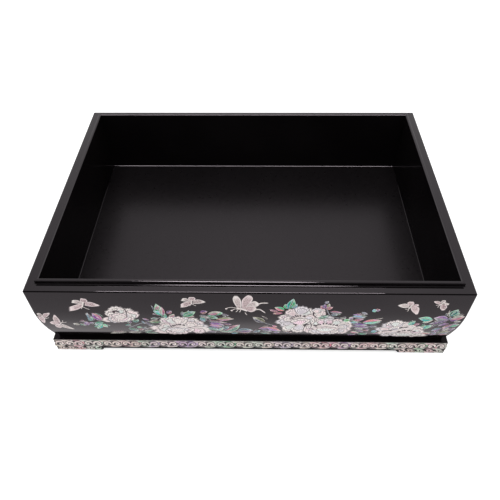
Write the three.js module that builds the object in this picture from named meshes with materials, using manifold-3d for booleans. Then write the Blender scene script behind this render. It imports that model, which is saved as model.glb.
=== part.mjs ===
// Lacquered document box: the open lower box on its plinth, with shell set into the lacquer.
// Millimetres, +Z up. The origin is on the table, under the middle of the box. The front looks to -Y.
import * as THREE from "three";
import { mergeVertices } from "three/addons/utils/BufferGeometryUtils.js";
import Module from "manifold-3d";

const wasm = await Module();
wasm.setup();

// Driving dimensions of the box.
const rimLength = 360; // finished length over the wall faces, along X
const rimDepth = 258; // finished depth over the wall faces, along Y
const ledgeHeight = 90; // table to the ledge that carries the lid
const ledgeWidth = 8.4; // flat of the ledge, outside the lip
const lipThickness = 3; // the strip that stands up inside the ledge
const lipRise = 3.5; // how far the lip stands above the ledge
const lipSeatDepth = 10; // how deep the strip sits in its rebate
const swellTop = 64; // height where the upright face starts to turn under
const swellRadius = 163; // radius of the face below that height
const neckHeight = 6; // recessed band between the body and the plinth
const neckInset = 7.6; // how far the neck lies behind the rim
const panelThickness = 2.5; // floor panel
const panelClearance = 0.3; // play of the floor panel between the walls
const edgeRound = 0.9; // rounding of the rim and of the lower edge of the body

// Driving dimensions of the plinth.
const plinthHeight = 16.7;
const plinthInset = 2.8; // how far the plinth face lies behind the rim
const railThickness = 14;
const footLength = 41; // along each face, from the corner
const apronRise = 3; // table to the apron between the feet
const apronStep = 3.6; // length of the ogee from foot to apron
const blockLeg = 20; // legs of the triangular corner blocks
const blockLift = 1.5; // the blocks stop short of the table

// Driving dimensions of the pegs.
const pegDiameter = 2;
const pegClearance = 0.3; // play between a peg and its hole
const pegGrip = 10; // how far a peg reaches into a wall board
const pegShare = 2 / 3; // distance between the two pegs of a wall, of its length

// The lacquer builds up round the wood, and the shell lies in it with its face at the finished size.
const lacquerBuild = 0.6;
const shellThickness = 0.3;
const shellJoint = 0.3; // lacquer line between a leaf and the bloom in front of it
const stemWidth = 1;

// Shapes the drawings are made of.
const longAspect = 2.675; // half the length of a long face to its height, as it is drawn
const shortAspect = 1.917; // the same for a short face
const bladeFullness = 0.8; // below 1 a blade is widest nearer its base
const heartShare = 0.72; // heart of a bloom, of its width and height
const petalShare = 0.4; // each petal, of the same

// Garlands, the sprays drawn by rule.
const garlandSway = 4; // how far the twig swings up and down
const garlandStride = 1.3; // radians of that swing from leaf to leaf
const garlandLeanUp = 48; // degrees between the twig's run and a leaf above it
const garlandLeanDown = -40; // and one below it
const garlandLeafLength = 12;
const garlandLeafPlay = 3; // how much longer or shorter a leaf can be
const garlandLeafStride = 2.1; // radians of that play from leaf to leaf
const garlandLeafWidth = 5.5;

// Vine scroll of the plinth.
const vineWave = 30; // length of one wave of the stem
const vineSwing = 2.6; // how far the stem swings up and down
const vineWidth = 1.3;
const vineMargin = 5; // bare lacquer at the ends of a rail
const vineBorder = 3; // bare lacquer along the apron
const vineLeafLength = 6;
const vineLeafWidth = 2.6;
const vineLeafLean = 35; // degrees from straight across the band

// How finely curves are cut.
const swellSteps = 6;
const roundSteps = 2;
const ogeeSteps = 6;
const pegSides = 12;
const leafSteps = 4;
const petalSides = 10;
const waveSteps = 6;

// Sizes that follow.
const halfLength = rimLength / 2;
const halfDepth = rimDepth / 2;
const floorTop = plinthHeight + neckHeight;
const baseTop = floorTop - panelThickness;
const wallThickness = ledgeWidth + lipThickness;
const overshoot = 5; // how far a cutting solid runs past what it cuts
const faceHeight = ledgeHeight - floorTop;
const degree = Math.PI / 180;

// A closed mesh with merged corners becomes a solid that can be joined and cut.
function solidOf(geometry) {
  const bare = geometry.clone();
  bare.deleteAttribute("normal");
  bare.deleteAttribute("uv");
  const merged = mergeVertices(bare, 1e-4);
  const mesh = new wasm.Mesh({
    numProp: 3,
    vertProperties: new Float32Array(merged.attributes.position.array),
    triVerts: new Uint32Array(merged.index.array),
  });
  return new wasm.Manifold(mesh);
}

// The finished solid goes back into a three.js geometry, in flat facets.
function geometryOf(solid) {
  const mesh = solid.getMesh();
  const indexed = new THREE.BufferGeometry();
  indexed.setAttribute("position", new THREE.BufferAttribute(mesh.vertProperties, 3));
  indexed.setIndex(new THREE.BufferAttribute(mesh.triVerts, 1));
  const faceted = indexed.toNonIndexed();
  faceted.computeVertexNormals();
  return faceted;
}

// A solid box between two corners.
function block([x0, y0, z0], [x1, y1, z1]) {
  const box = new THREE.BoxGeometry(x1 - x0, y1 - y0, z1 - z0);
  box.translate((x0 + x1) / 2, (y0 + y1) / 2, (z0 + z1) / 2);
  return solidOf(box);
}

// A box centred on the origin in plan, set in from the rim by one distance all round.
function insetBlock(inset, low, high) {
  const x = halfLength - inset;
  const y = halfDepth - inset;
  return block([-x, -y, low], [x, y, high]);
}

function prism(points, length) {
  const shape = new THREE.Shape(points.map(([u, v]) => new THREE.Vector2(u, v)));
  return new THREE.ExtrudeGeometry(shape, { depth: length, bevelEnabled: false });
}

// An outline in the upright plane facing the reader, given as [x, z], made solid from y0 to y1.
function prismAlongY(points, y0, y1) {
  const geometry = prism(points, y1 - y0);
  geometry.rotateX(Math.PI / 2);
  geometry.translate(0, y1, 0);
  return geometry;
}

// A piece that is the same on the next face round the box is turned about the upright axis.
function turned(geometry, angle) {
  return geometry.clone().rotateZ(angle);
}

// How far the face has turned under at a height.
function swellInset(height) {
  const drop = Math.max(0, swellTop - height);
  return swellRadius - Math.sqrt(swellRadius ** 2 - drop ** 2);
}

// One face of the body from its lower edge to the rim, as [inset, height].
function faceProfile() {
  const points = [];
  for (let i = 0; i <= roundSteps; i += 1) {
    const a = (i / roundSteps) * (Math.PI / 2);
    const height = floorTop + edgeRound * (1 - Math.cos(a));
    points.push([swellInset(floorTop) + edgeRound * (1 - Math.sin(a)), height]);
  }
  for (let i = 1; i <= swellSteps; i += 1) {
    const height = floorTop + edgeRound + (i / swellSteps) * (swellTop - floorTop - edgeRound);
    points.push([swellInset(height), height]);
  }
  for (let i = 0; i <= roundSteps; i += 1) {
    const a = (i / roundSteps) * (Math.PI / 2);
    const height = ledgeHeight - edgeRound * (1 - Math.sin(a));
    points.push([edgeRound * (1 - Math.cos(a)), height]);
  }
  return points;
}

// The body as a full block: both pairs of faces have the same profile, and meet at the corners.
function bodyBlock(inset) {
  const acrossOutline = (half) => {
    const right = faceProfile().map(([back, height]) => [half - inset - back, height]);
    const left = right.map(([x, height]) => [-x, height]).reverse();
    return right.concat(left);
  };
  const reachY = halfDepth + overshoot;
  const reachX = halfLength + overshoot;
  const along = prismAlongY(acrossOutline(halfLength), -reachY, reachY);
  const across = turned(prismAlongY(acrossOutline(halfDepth), -reachX, reachX), Math.PI / 2);
  return solidOf(along).intersect(solidOf(across));
}

// The four faces, each with the turn that takes the front face to it.
const faces = [
  { name: "front", angle: 0, half: halfDepth, panel: halfLength, aspect: longAspect },
  { name: "right", angle: Math.PI / 2, half: halfLength, panel: halfDepth, aspect: shortAspect },
  { name: "back", angle: Math.PI, half: halfDepth, panel: halfLength, aspect: longAspect },
  { name: "left", angle: -Math.PI / 2, half: halfLength, panel: halfDepth, aspect: shortAspect },
];

// The front and back boards run through, and the side boards stand between them.
function boardRegion(face, thickness, inset) {
  const runsThrough = face.half === halfDepth;
  const end = face.panel - inset + (runsThrough ? overshoot : -thickness);
  const low = -overshoot;
  const high = ledgeHeight + lipRise + overshoot;
  const outer = face.half - inset + overshoot;
  const box = new THREE.BoxGeometry(2 * end, overshoot + thickness, high - low);
  box.translate(0, (overshoot + thickness) / 2 - outer, (low + high) / 2);
  return solidOf(turned(box, face.angle));
}

const materials = {
  lacquer: { color: 0x0c0b0c, roughness: 0.12, metalness: 0 },
  floorLacquer: { color: 0x0e0d0e, roughness: 0.3, metalness: 0 },
  wood: { color: 0x9c7348, roughness: 0.7, metalness: 0 },
  bamboo: { color: 0xc9a868, roughness: 0.6, metalness: 0 },
  pearl: { color: 0xe9dcd8, roughness: 0.25, metalness: 0 },
  abalone: { color: 0x7fc4b4, roughness: 0.2, metalness: 0 },
};

function piece(name, geometry, finish) {
  const mesh = new THREE.Mesh(geometry, new THREE.MeshStandardMaterial(materials[finish]));
  mesh.name = name;
  return mesh;
}

// Pegs stand in the middle of the wood that the walls set on the base board.
const pegInset = (neckInset + wallThickness) / 2;
const pegLength = baseTop + pegGrip - plinthHeight;
const pegPlaces = [];
for (const [side, ySign] of [["front", -1], ["back", 1]]) {
  for (const [end, xSign] of [["left", -1], ["right", 1]]) {
    const x = xSign * halfLength * pegShare;
    pegPlaces.push({ name: `peg_${side}_${end}`, x, y: ySign * (halfDepth - pegInset) });
  }
}

function pegHoles() {
  const radius = pegDiameter / 2 + pegClearance;
  const length = pegLength + pegClearance + overshoot;
  const holes = pegPlaces.map(({ x, y }) => {
    const hole = new THREE.CylinderGeometry(radius, radius, length, pegSides);
    hole.rotateX(Math.PI / 2);
    hole.translate(x, y, plinthHeight - overshoot + length / 2);
    return solidOf(hole);
  });
  return wasm.Manifold.union(holes);
}

// Wall boards, lip strips, floor panel and base board.
function makeBody() {
  const group = new THREE.Group();
  const tongue = insetBlock(neckInset, baseTop, floorTop + edgeRound);
  const hollow = insetBlock(wallThickness, baseTop - overshoot, ledgeHeight + overshoot);
  const rebate = insetBlock(ledgeWidth, ledgeHeight - lipSeatDepth, ledgeHeight + overshoot);
  const holes = pegHoles();
  const carcass = bodyBlock(lacquerBuild).add(tongue).subtract(hollow).subtract(rebate).subtract(holes);
  const lipTop = ledgeHeight + lipRise;
  const lipFrame = insetBlock(ledgeWidth, ledgeHeight - lipSeatDepth, lipTop);
  const lip = lipFrame.subtract(insetBlock(wallThickness, 0, lipTop + overshoot));
  for (const face of faces) {
    const board = carcass.intersect(boardRegion(face, wallThickness, 0));
    group.add(piece(`${face.name}_wall`, geometryOf(board), "lacquer"));
    const strip = lip.intersect(boardRegion(face, lipThickness, ledgeWidth));
    group.add(piece(`${face.name}_lip_strip`, geometryOf(strip), "lacquer"));
  }
  const panel = insetBlock(wallThickness + panelClearance, baseTop, floorTop);
  group.add(piece("floor_panel", geometryOf(panel), "floorLacquer"));
  const base = insetBlock(neckInset, plinthHeight, baseTop).subtract(holes);
  group.add(piece("base_board", geometryOf(base), "lacquer"));
  for (const { name, x, y } of pegPlaces) {
    const peg = new THREE.CylinderGeometry(pegDiameter / 2, pegDiameter / 2, pegLength, pegSides);
    peg.rotateX(Math.PI / 2);
    const mesh = piece(name, peg, "bamboo");
    mesh.position.set(x, y, plinthHeight + pegLength / 2);
    group.add(mesh);
  }
  return group;
}

// The gap under a rail: an ogee at each foot, and a level apron between them.
function apronOutline(reach) {
  const right = [[reach, -overshoot]];
  for (let i = 0; i <= ogeeSteps; i += 1) {
    const t = i / ogeeSteps;
    right.push([reach - apronStep * t, (apronRise * (1 - Math.cos(Math.PI * t))) / 2]);
  }
  const left = right.map(([x, z]) => [-x, z]).reverse();
  return right.concat(left);
}

// Rails with bracket feet, and the glued blocks that stiffen their corners.
function makePlinth() {
  const group = new THREE.Group();
  const woodInset = plinthInset + lacquerBuild;
  const inner = insetBlock(woodInset + railThickness, -overshoot, plinthHeight + overshoot);
  const frame = insetBlock(woodInset, 0, plinthHeight).subtract(inner);
  for (const face of faces) {
    const reach = face.panel - plinthInset - footLength;
    const gap = prismAlongY(apronOutline(reach), -face.half - overshoot, -face.half / 2);
    const rail = frame.intersect(boardRegion(face, railThickness, woodInset));
    const shaped = rail.subtract(solidOf(turned(gap, face.angle)));
    group.add(piece(`${face.name}_plinth_rail`, geometryOf(shaped), "lacquer"));
  }
  const cornerX = halfLength - woodInset - railThickness;
  const cornerY = halfDepth - woodInset - railThickness;
  const corners = [
    ["front_left", -1, -1],
    ["front_right", 1, -1],
    ["back_right", 1, 1],
    ["back_left", -1, 1],
  ];
  corners.forEach(([name, xSign, ySign], quarter) => {
    const wedge = prism([[0, 0], [blockLeg, 0], [0, blockLeg]], plinthHeight - blockLift);
    const mesh = piece(`corner_block_${name}`, wedge, "wood");
    mesh.position.set(xSign * cornerX, ySign * cornerY, blockLift);
    mesh.rotation.z = (quarter * Math.PI) / 2;
    group.add(mesh);
  });
  return group;
}

// A pointed leaf, wing or petal that starts at a point and grows in a direction.
function blade(x, z, degrees, length, width) {
  const along = [Math.cos(degrees * degree), Math.sin(degrees * degree)];
  const one = [];
  const other = [];
  for (let i = 0; i <= leafSteps; i += 1) {
    const t = i / leafSteps;
    const half = (width / 2) * Math.sin(Math.PI * t ** bladeFullness);
    const cx = x + along[0] * length * t;
    const cz = z + along[1] * length * t;
    one.push([cx + along[1] * half, cz - along[0] * half]);
    if (i > 0 && i < leafSteps) {
      other.unshift([cx - along[1] * half, cz + along[0] * half]);
    }
  }
  return one.concat(other);
}

function oval(x, z, width, height) {
  const points = [];
  for (let i = 0; i < petalSides; i += 1) {
    const a = (2 * Math.PI * i) / petalSides;
    points.push([x + (width / 2) * Math.cos(a), z + (height / 2) * Math.sin(a)]);
  }
  return points;
}

// A stem of even width through a few points.
function ribbon(path, width) {
  const one = [];
  const other = [];
  path.forEach(([x, z], i) => {
    const before = path[Math.max(0, i - 1)];
    const after = path[Math.min(path.length - 1, i + 1)];
    const run = Math.hypot(after[0] - before[0], after[1] - before[1]);
    const nx = (-(after[1] - before[1]) / run) * (width / 2);
    const nz = ((after[0] - before[0]) / run) * (width / 2);
    one.push([x - nx, z - nz]);
    other.unshift([x + nx, z + nz]);
  });
  return one.concat(other);
}

// The drawings give places in percent: x of half the face, from its middle, and z of the height of the
// face, from its lower edge. Lengths and widths are in percent of that height.
function scaleOf(face) {
  const size = (percent) => (percent * faceHeight) / 100;
  const place = ([x, z]) => [size(x) * face.aspect, floorTop + size(z)];
  return { size, place };
}

// A peony is a heart with petals round it. grow widens every petal, for the joint with what lies behind.
function bloom(head, scale, grow) {
  const [x, z] = scale.place([head.x, head.z]);
  const width = scale.size(head.width);
  const height = scale.size(head.height);
  const outlines = [oval(x, z, width * heartShare + 2 * grow, height * heartShare + 2 * grow)];
  for (let i = 0; i < head.petals; i += 1) {
    const a = (2 * Math.PI * i) / head.petals + Math.PI / 2;
    const px = x + (width / 2) * (1 - petalShare) * Math.cos(a);
    const pz = z + (height / 2) * (1 - petalShare) * Math.sin(a);
    outlines.push(oval(px, pz, width * petalShare + 2 * grow, height * petalShare + 2 * grow));
  }
  return outlines;
}

// A butterfly seen from above: four wings, head and tail. Each is [angle from the head, length, width],
// and the lengths and widths are shares of the butterfly's size.
const butterflyBlades = [
  [68, 1, 0.52],
  [-68, 1, 0.52],
  [147, 0.66, 0.56],
  [-147, 0.66, 0.56],
  [0, 0.34, 0.14],
  [180, 0.4, 0.16],
];

function butterfly(fly, scale) {
  const [x, z] = scale.place([fly.x, fly.z]);
  const size = scale.size(fly.size);
  return butterflyBlades.map(([angle, length, width]) => {
    return blade(x, z, fly.head + angle, size * length, size * width);
  });
}

// The large butterfly of the front has its wings raised. Each blade is [x, z, angle, length, width] from
// the middle of its body: three raised wings, the body and the hind wing.
const tailedBlades = [
  [-4.5, 0, 104, 28.2, 12.6],
  [-1.5, -1.5, 72, 29.7, 17.8],
  [-1.5, -3, 40, 23.8, 13.4],
  [-8.9, -1.5, -4, 19.3, 7.4],
  [3, -3, -10, 11.9, 8.9],
];
// Its two tails stream behind, and its feelers reach ahead.
const tailedThreads = [
  [[4.5, 0], [14.9, 8.9], [29.7, 11.9]],
  [[7.4, -4.5], [17.8, -3], [28.2, -8.9]],
  [[-5.9, 0], [-13.4, 1.5], [-22.3, -1.5]],
];

function tailedButterfly(fly, { size, place }) {
  const [x, z] = place([fly.x, fly.z]);
  const blades = tailedBlades.map(([dx, dz, angle, length, width]) => {
    return blade(x + size(dx), z + size(dz), angle, size(length), size(width));
  });
  const threads = tailedThreads.map((path) => {
    return ribbon(path.map(([dx, dz]) => [x + size(dx), z + size(dz)]), stemWidth);
  });
  return [...blades, ...threads];
}

// A leaf starts a little before its place on the twig, so that the two are one piece of shell.
function leafBlade(x, z, degrees, length, width) {
  const startX = x - stemWidth * Math.cos(degrees * degree);
  const startZ = z - stemWidth * Math.sin(degrees * degree);
  return blade(startX, startZ, degrees, length + stemWidth, width);
}

// A spray is a twig with its leaves: each leaf is [x, z, angle, length, width].
function spray({ twig, leaves }, { size, place }) {
  const blades = leaves.map(([x, z, angle, length, width]) => {
    return leafBlade(...place([x, z]), angle, size(length), size(width));
  });
  return [...blades, ribbon(twig.map(place), stemWidth)];
}

// A spray drawn by rule, for the faces that follow the front: leaves stand out from a waving twig.
function garland({ from, to, height, leaves }, { place }) {
  const twig = [];
  const blades = [];
  const [start, middle] = place([from, height]);
  const [end] = place([to, height]);
  const side = Math.sign(end - start);
  for (let i = 0; i <= leaves; i += 1) {
    const x = start + ((end - start) * i) / leaves;
    const z = middle + garlandSway * Math.sin(i * garlandStride);
    const lean = i % 2 === 0 ? garlandLeanUp : garlandLeanDown;
    const angle = side > 0 ? lean : 180 - lean;
    const length = garlandLeafLength + garlandLeafPlay * Math.cos(i * garlandLeafStride);
    twig.push([x, z]);
    blades.push(leafBlade(x, z, angle, length, garlandLeafWidth));
  }
  return [...blades, ribbon(twig, stemWidth)];
}

// The four drawings.
const frontButterflies = [
  { x: -74.7, z: 75.2, head: -72, size: 22.3 },
  { x: -95, z: 48, head: -30, size: 13.4 },
  { x: -90.6, z: 29.4, head: 25, size: 20.1 },
  { x: -25.3, z: 82.2, head: -73, size: 17.5 },
  { x: 72.7, z: 75.5, head: -121, size: 16.9 },
  { x: 86.1, z: 80.7, head: -137, size: 13.1 },
];
const frontBlooms = [
  [
    { x: -61.1, z: 52.5, width: 40.1, height: 35.7, petals: 7 },
    { x: -53.9, z: 60.6, width: 17.8, height: 16.3, petals: 5 },
  ],
  [{ x: -33.3, z: 26.4, width: 77.3, height: 46.1, petals: 11 }],
  [
    { x: 23.9, z: 46.5, width: 62.4, height: 52, petals: 10 },
    { x: 36.7, z: 28.7, width: 68.4, height: 49, petals: 10 },
    { x: 32.8, z: 59.9, width: 23.8, height: 20.8, petals: 5 },
  ],
  [{ x: 73.3, z: 25, width: 71.3, height: 43.1, petals: 11 }],
];
const frontSprays = [
  {
    twig: [[-67.2, 31.6], [-68.9, 33.1], [-72.8, 35.4], [-78.3, 30.9]],
    leaves: [
      [-72.8, 35.4, 115, 25.3, 8.2],
      [-71.1, 34.6, 98, 23.8, 7.4],
      [-73.9, 35.1, 195, 13.4, 6.7],
      [-78.3, 30.9, 170, 14.9, 6.7],
      [-78.3, 30.9, 110, 10.4, 5.2],
      [-68.9, 33.1, 205, 16.3, 8.9],
      [-68.9, 33.1, 235, 16.3, 7.4],
    ],
  },
  {
    twig: [
      ...[[-65.6, 9.4], [-57.8, 12.3], [-53.3, 19.8], [-50, 34.6]],
      ...[[-46.7, 46.5], [-42.8, 55.4], [-42.2, 64.3]],
    ],
    leaves: [
      [-58.9, 11.6, 186, 25.3, 7.4],
      [-57.8, 12.3, 155, 17.8, 6.7],
      [-54.7, 17.5, -25, 14.9, 7.4],
      [-51.7, 27.2, 150, 13.4, 7.4],
      [-50.6, 31.6, 120, 17.8, 7.4],
      [-46.7, 46.5, 190, 14.9, 6.7],
      [-42.2, 62.9, 140, 11.9, 7.4],
      [-42.2, 62.9, 82, 14.9, 8.9],
      [-42.2, 61.4, 30, 11.9, 7.4],
      [-42.8, 55.4, 10, 17.8, 8.2],
    ],
  },
  {
    twig: [
      ...[[-27.8, 55.4], [-24.4, 55.4], [-21.1, 52.5], [-17.8, 40.6]],
      ...[[-16.1, 28.7], [-14.4, 16.8], [-8.9, 12.3], [-2.2, 15.3]],
    ],
    leaves: [
      [-27.8, 55.4, 35, 17.8, 8.9],
      [-22.2, 53.2, 62, 13.4, 5.9],
      [-20, 48.7, 35, 20.8, 7.4],
      [-18.3, 42.1, 12, 32.7, 8.2],
      [-17.2, 35.4, -6, 22.3, 7.4],
      [-16.1, 28.7, -22, 16.3, 6.7],
      [-11.1, 13.8, 45, 23.8, 8.2],
      [-8.9, 12.3, -22, 13.4, 5.9],
      [-2.2, 15.3, 10, 10.4, 6.7],
    ],
  },
  {
    twig: [[13.3, 15.3], [9.4, 19.8], [7.2, 31.6], [7.8, 46.5], [10.6, 56.9], [13.3, 68.8], [16.7, 77.7]],
    leaves: [
      [7.8, 40.6, 150, 19.3, 7.4],
      [7.5, 31.6, 215, 13.4, 5.9],
      [9.4, 19.8, 190, 14.9, 7.4],
      [9.4, 19.8, 235, 13.4, 5.9],
      [12.2, 16.8, -20, 16.3, 7.4],
      [12.2, 64.3, 128, 11.9, 5.9],
      [13.3, 68.8, 100, 13.4, 6.7],
      [16.7, 77.7, 60, 14.1, 8.9],
      [16.7, 77.7, 10, 13.4, 5.9],
    ],
  },
  {
    twig: [
      ...[[36.7, 76.2], [38.9, 65.8], [42.2, 57.7], [47.2, 52.5]],
      ...[[52.2, 48], [55.6, 36.1], [55, 22.7], [53.3, 10.8]],
    ],
    leaves: [
      [36.7, 76.2, 110, 13.4, 6.7],
      [36.7, 76.2, 60, 11.9, 5.9],
      [36.7, 76.2, 170, 10.4, 5.9],
      [38.9, 65.8, 25, 17.8, 6.7],
      [44.4, 55.4, 65, 14.9, 6.7],
      [47.2, 52.5, 35, 20.8, 8.2],
      [51.7, 48, 52, 26.7, 5.9],
      [52.2, 48, 0, 26.7, 8.2],
      [55.6, 36.1, 165, 13.4, 5.9],
      [55, 22.7, -30, 11.9, 5.9],
      [54.4, 18.3, 195, 16.3, 7.4],
      [53.3, 10.8, -5, 17.8, 6.7],
    ],
  },
  {
    twig: [[88.1, 10.8], [88.6, 15.3], [89.4, 25.7], [90.6, 37.6], [92.2, 49.5], [93.3, 58.4]],
    leaves: [
      [93.3, 58.4, 85, 12.6, 6.7],
      [92.8, 53.9, 22, 14.9, 5.9],
      [91.7, 45, 0, 17.8, 7.4],
      [90.6, 37.6, -20, 19.3, 8.2],
      [89.4, 25.7, -30, 19.3, 8.2],
      [92.2, 49.5, 150, 17.8, 7.4],
      [90.6, 37.6, 162, 29.7, 8.9],
      [88.6, 15.3, -18, 19.3, 7.4],
    ],
  },
];
const sideButterflies = [
  { x: -51.2, z: 76.2, head: -60, size: 19.3 },
  { x: 45, z: 80.7, head: -125, size: 14.1 },
];
const sideBlooms = [
  [
    { x: -7.8, z: 40.6, width: 65.4, height: 53.5, petals: 10 },
    { x: 13.2, z: 27.2, width: 62.4, height: 46.1, petals: 10 },
  ],
];
const sideGarlands = [
  { from: -27.9, to: -76, height: 27.2, leaves: 6 },
  { from: 32.6, to: 80.6, height: 27.2, leaves: 6 },
];
const backButterflies = [
  { x: -4.4, z: 77.7, head: -70, size: 20.8 },
  { x: 78.9, z: 76.2, head: -130, size: 14.9 },
];
const backBlooms = [
  [{ x: -42.2, z: 30.2, width: 77.3, height: 50.5, petals: 11 }],
  [{ x: 44.4, z: 33.1, width: 83.2, height: 55, petals: 11 }],
];
const backGarlands = [
  { from: -58.9, to: -90, height: 27.2, leaves: 5 },
  { from: -21.5, to: 20, height: 25.7, leaves: 8 },
  { from: 62.2, to: 91.1, height: 27.2, leaves: 5 },
];

const shellLayer = bodyBlock(0).subtract(bodyBlock(shellThickness));

// Outlines of the drawing become one thin plate, bedded in the layer of a face. They are stretched from
// the drawn length of the face to the real one.
function plateOf(outlines, face) {
  const stretch = face.panel / (face.aspect * faceHeight);
  const cuts = outlines.map((outline) => {
    const placed = outline.map(([x, z]) => [x * stretch, z]);
    const cut = prismAlongY(placed, -face.half - overshoot, -face.half + wallThickness);
    return solidOf(turned(cut, face.angle));
  });
  return wasm.Manifold.union(cuts).intersect(shellLayer);
}

// Shell of one face: butterflies, blooms, and the sprays that pass behind the blooms.
function makeInlay(face, drawing) {
  const group = new THREE.Group();
  const add = (kind, number, solid, finish) => {
    group.add(piece(`${face.name}_${kind}_${number}`, geometryOf(solid), finish));
  };
  const scale = scaleOf(face);
  const flies = drawing.butterflies.map((fly) => butterfly(fly, scale));
  const tailed = drawing.tailedButterflies.map((fly) => tailedButterfly(fly, scale));
  [...flies, ...tailed].forEach((outlines, i) => {
    add("butterfly", i + 1, plateOf(outlines, face), "pearl");
  });
  drawing.blooms.forEach((heads, i) => {
    const outlines = heads.flatMap((head) => bloom(head, scale, 0));
    add("peony", i + 1, plateOf(outlines, face), "pearl");
  });
  const heads = drawing.blooms.flat();
  const inFront = plateOf(heads.flatMap((head) => bloom(head, scale, shellJoint)), face);
  const sprays = drawing.sprays.map((drawn) => spray(drawn, scale));
  const garlands = drawing.garlands.map((drawn) => garland(drawn, scale));
  [...sprays, ...garlands].forEach((outlines, i) => {
    add("leaf_spray", i + 1, plateOf(outlines, face).subtract(inFront), "abalone");
  });
  return group;
}

// The vine of one plinth face: a waving stem with a leaf in every bend.
function makeVine(face) {
  const reach = face.panel - plinthInset - vineMargin;
  const middle = (plinthHeight + apronRise + vineBorder) / 2;
  const waves = Math.round((2 * reach) / vineWave);
  const length = (2 * reach) / waves;
  const height = (x) => middle + vineSwing * Math.sin((2 * Math.PI * (x + reach)) / length);
  const steps = waves * waveSteps;
  const stem = [];
  for (let i = 0; i <= steps; i += 1) {
    const x = -reach + (2 * reach * i) / steps;
    stem.push([x, height(x)]);
  }
  const outlines = [ribbon(stem, vineWidth)];
  for (let i = 0; i < 2 * waves; i += 1) {
    const x = -reach + (length * (i + 0.5)) / 2;
    const inward = i % 2 === 0 ? -90 - vineLeafLean : 90 + vineLeafLean;
    outlines.push(blade(x, height(x), inward, vineLeafLength, vineLeafWidth));
  }
  const front = -(face.half - plinthInset);
  const bands = outlines.map((outline) => {
    const band = prismAlongY(outline, front, front + shellThickness);
    return solidOf(turned(band, face.angle));
  });
  return piece(`${face.name}_vine_scroll`, geometryOf(wasm.Manifold.union(bands)), "abalone");
}

const sideDrawing = {
  butterflies: sideButterflies,
  tailedButterflies: [],
  blooms: sideBlooms,
  sprays: [],
  garlands: sideGarlands,
};
const drawings = {
  front: {
    butterflies: frontButterflies,
    tailedButterflies: [{ x: -2.2, z: 68.8 }],
    blooms: frontBlooms,
    sprays: frontSprays,
    garlands: [],
  },
  right: sideDrawing,
  back: {
    butterflies: backButterflies,
    tailedButterflies: [],
    blooms: backBlooms,
    sprays: [],
    garlands: backGarlands,
  },
  left: sideDrawing,
};

const box = new THREE.Group();
box.add(makeBody());
box.add(makePlinth());
for (const face of faces) {
  box.add(makeInlay(face, drawings[face.name]));
  box.add(makeVine(face));
}

export default box;
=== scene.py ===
# %% [markdown]
# # A lacquered document box inlaid with shell
# The object is the open lower half of a document box: black lacquer over wood, with peonies, leaves and
# butterflies cut from thin plates of shell. The CAD model gives every size and place. This lesson makes
# the lacquer skin, the lip, the plinth and all the shell new, and gives the hidden wood a finish.

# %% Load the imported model
import math
import random

import bmesh
import bpy
from mathutils import Matrix, Vector


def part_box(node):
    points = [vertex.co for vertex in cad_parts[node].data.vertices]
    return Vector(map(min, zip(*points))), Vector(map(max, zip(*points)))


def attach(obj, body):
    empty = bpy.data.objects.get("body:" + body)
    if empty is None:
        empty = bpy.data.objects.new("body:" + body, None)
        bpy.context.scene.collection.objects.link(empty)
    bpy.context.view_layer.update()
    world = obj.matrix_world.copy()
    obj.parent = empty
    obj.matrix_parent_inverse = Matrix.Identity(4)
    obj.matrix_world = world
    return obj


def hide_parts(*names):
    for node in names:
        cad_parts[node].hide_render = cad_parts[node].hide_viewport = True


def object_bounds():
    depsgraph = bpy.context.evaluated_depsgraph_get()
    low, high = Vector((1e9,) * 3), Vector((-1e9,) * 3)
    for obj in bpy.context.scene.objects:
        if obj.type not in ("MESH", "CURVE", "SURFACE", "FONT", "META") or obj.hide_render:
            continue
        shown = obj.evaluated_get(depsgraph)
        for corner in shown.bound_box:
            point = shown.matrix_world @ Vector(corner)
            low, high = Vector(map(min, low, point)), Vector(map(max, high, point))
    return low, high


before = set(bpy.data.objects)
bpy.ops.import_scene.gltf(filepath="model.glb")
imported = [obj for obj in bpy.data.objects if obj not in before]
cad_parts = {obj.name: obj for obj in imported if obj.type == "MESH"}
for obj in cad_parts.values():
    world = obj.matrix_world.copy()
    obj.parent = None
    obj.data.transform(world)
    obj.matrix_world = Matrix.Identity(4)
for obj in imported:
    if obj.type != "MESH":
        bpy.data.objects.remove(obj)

cad_low, cad_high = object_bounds()
scene = bpy.context.scene
print("nodes in the frame:", len(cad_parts))

# %% [markdown]
# ## Sizes
# Nothing is measured twice: the rim, the ledge, the lip, the floor and the plinth are read from the CAD
# nodes, so the new skins lie exactly where the solids are. An inset is a distance behind the rim. Each
# side has a turn from the front, and a span: half its length, and its distance from the middle.

# %% Read the sizes of the box
mm = 0.001
sides = ("front", "right", "back", "left")
half_length, half_depth = cad_high.x, cad_high.y
turns = dict(zip(sides, (0.0, math.pi / 2, math.pi, -math.pi / 2)))
spans = dict(zip(sides, 2 * ((half_length, half_depth), (half_depth, half_length))))
ledge_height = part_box("front_wall")[1].z
floor_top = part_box("floor_panel")[1].z
base_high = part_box("base_board")[1]
lip_low, lip_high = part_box("front_lip_strip")
plinth_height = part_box("front_plinth_rail")[1].z
neck_inset = half_length - base_high.x
lip_inset = half_depth + lip_low.y
wall_inset = half_depth + lip_high.y
plinth_inset = half_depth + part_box("front_vine_scroll")[0].y
rail_inner = half_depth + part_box("front_plinth_rail")[1].y
print("rim", half_length * 2, half_depth * 2, "ledge", ledge_height, "plinth inset", round(plinth_inset, 5))

# %% The curve of the wall
# Below 64 mm the face turns under on a long radius. The shell lies in this curve too.
swell_top, swell_radius = 64 * mm, 163 * mm
shell_proud = 0.12 * mm


def swell(height):
    drop = max(0.0, swell_top - height)
    return swell_radius - math.sqrt(swell_radius**2 - drop**2)


print("the face turns under by", round(swell(floor_top) / mm, 2), "mm at its lower edge")

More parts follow.
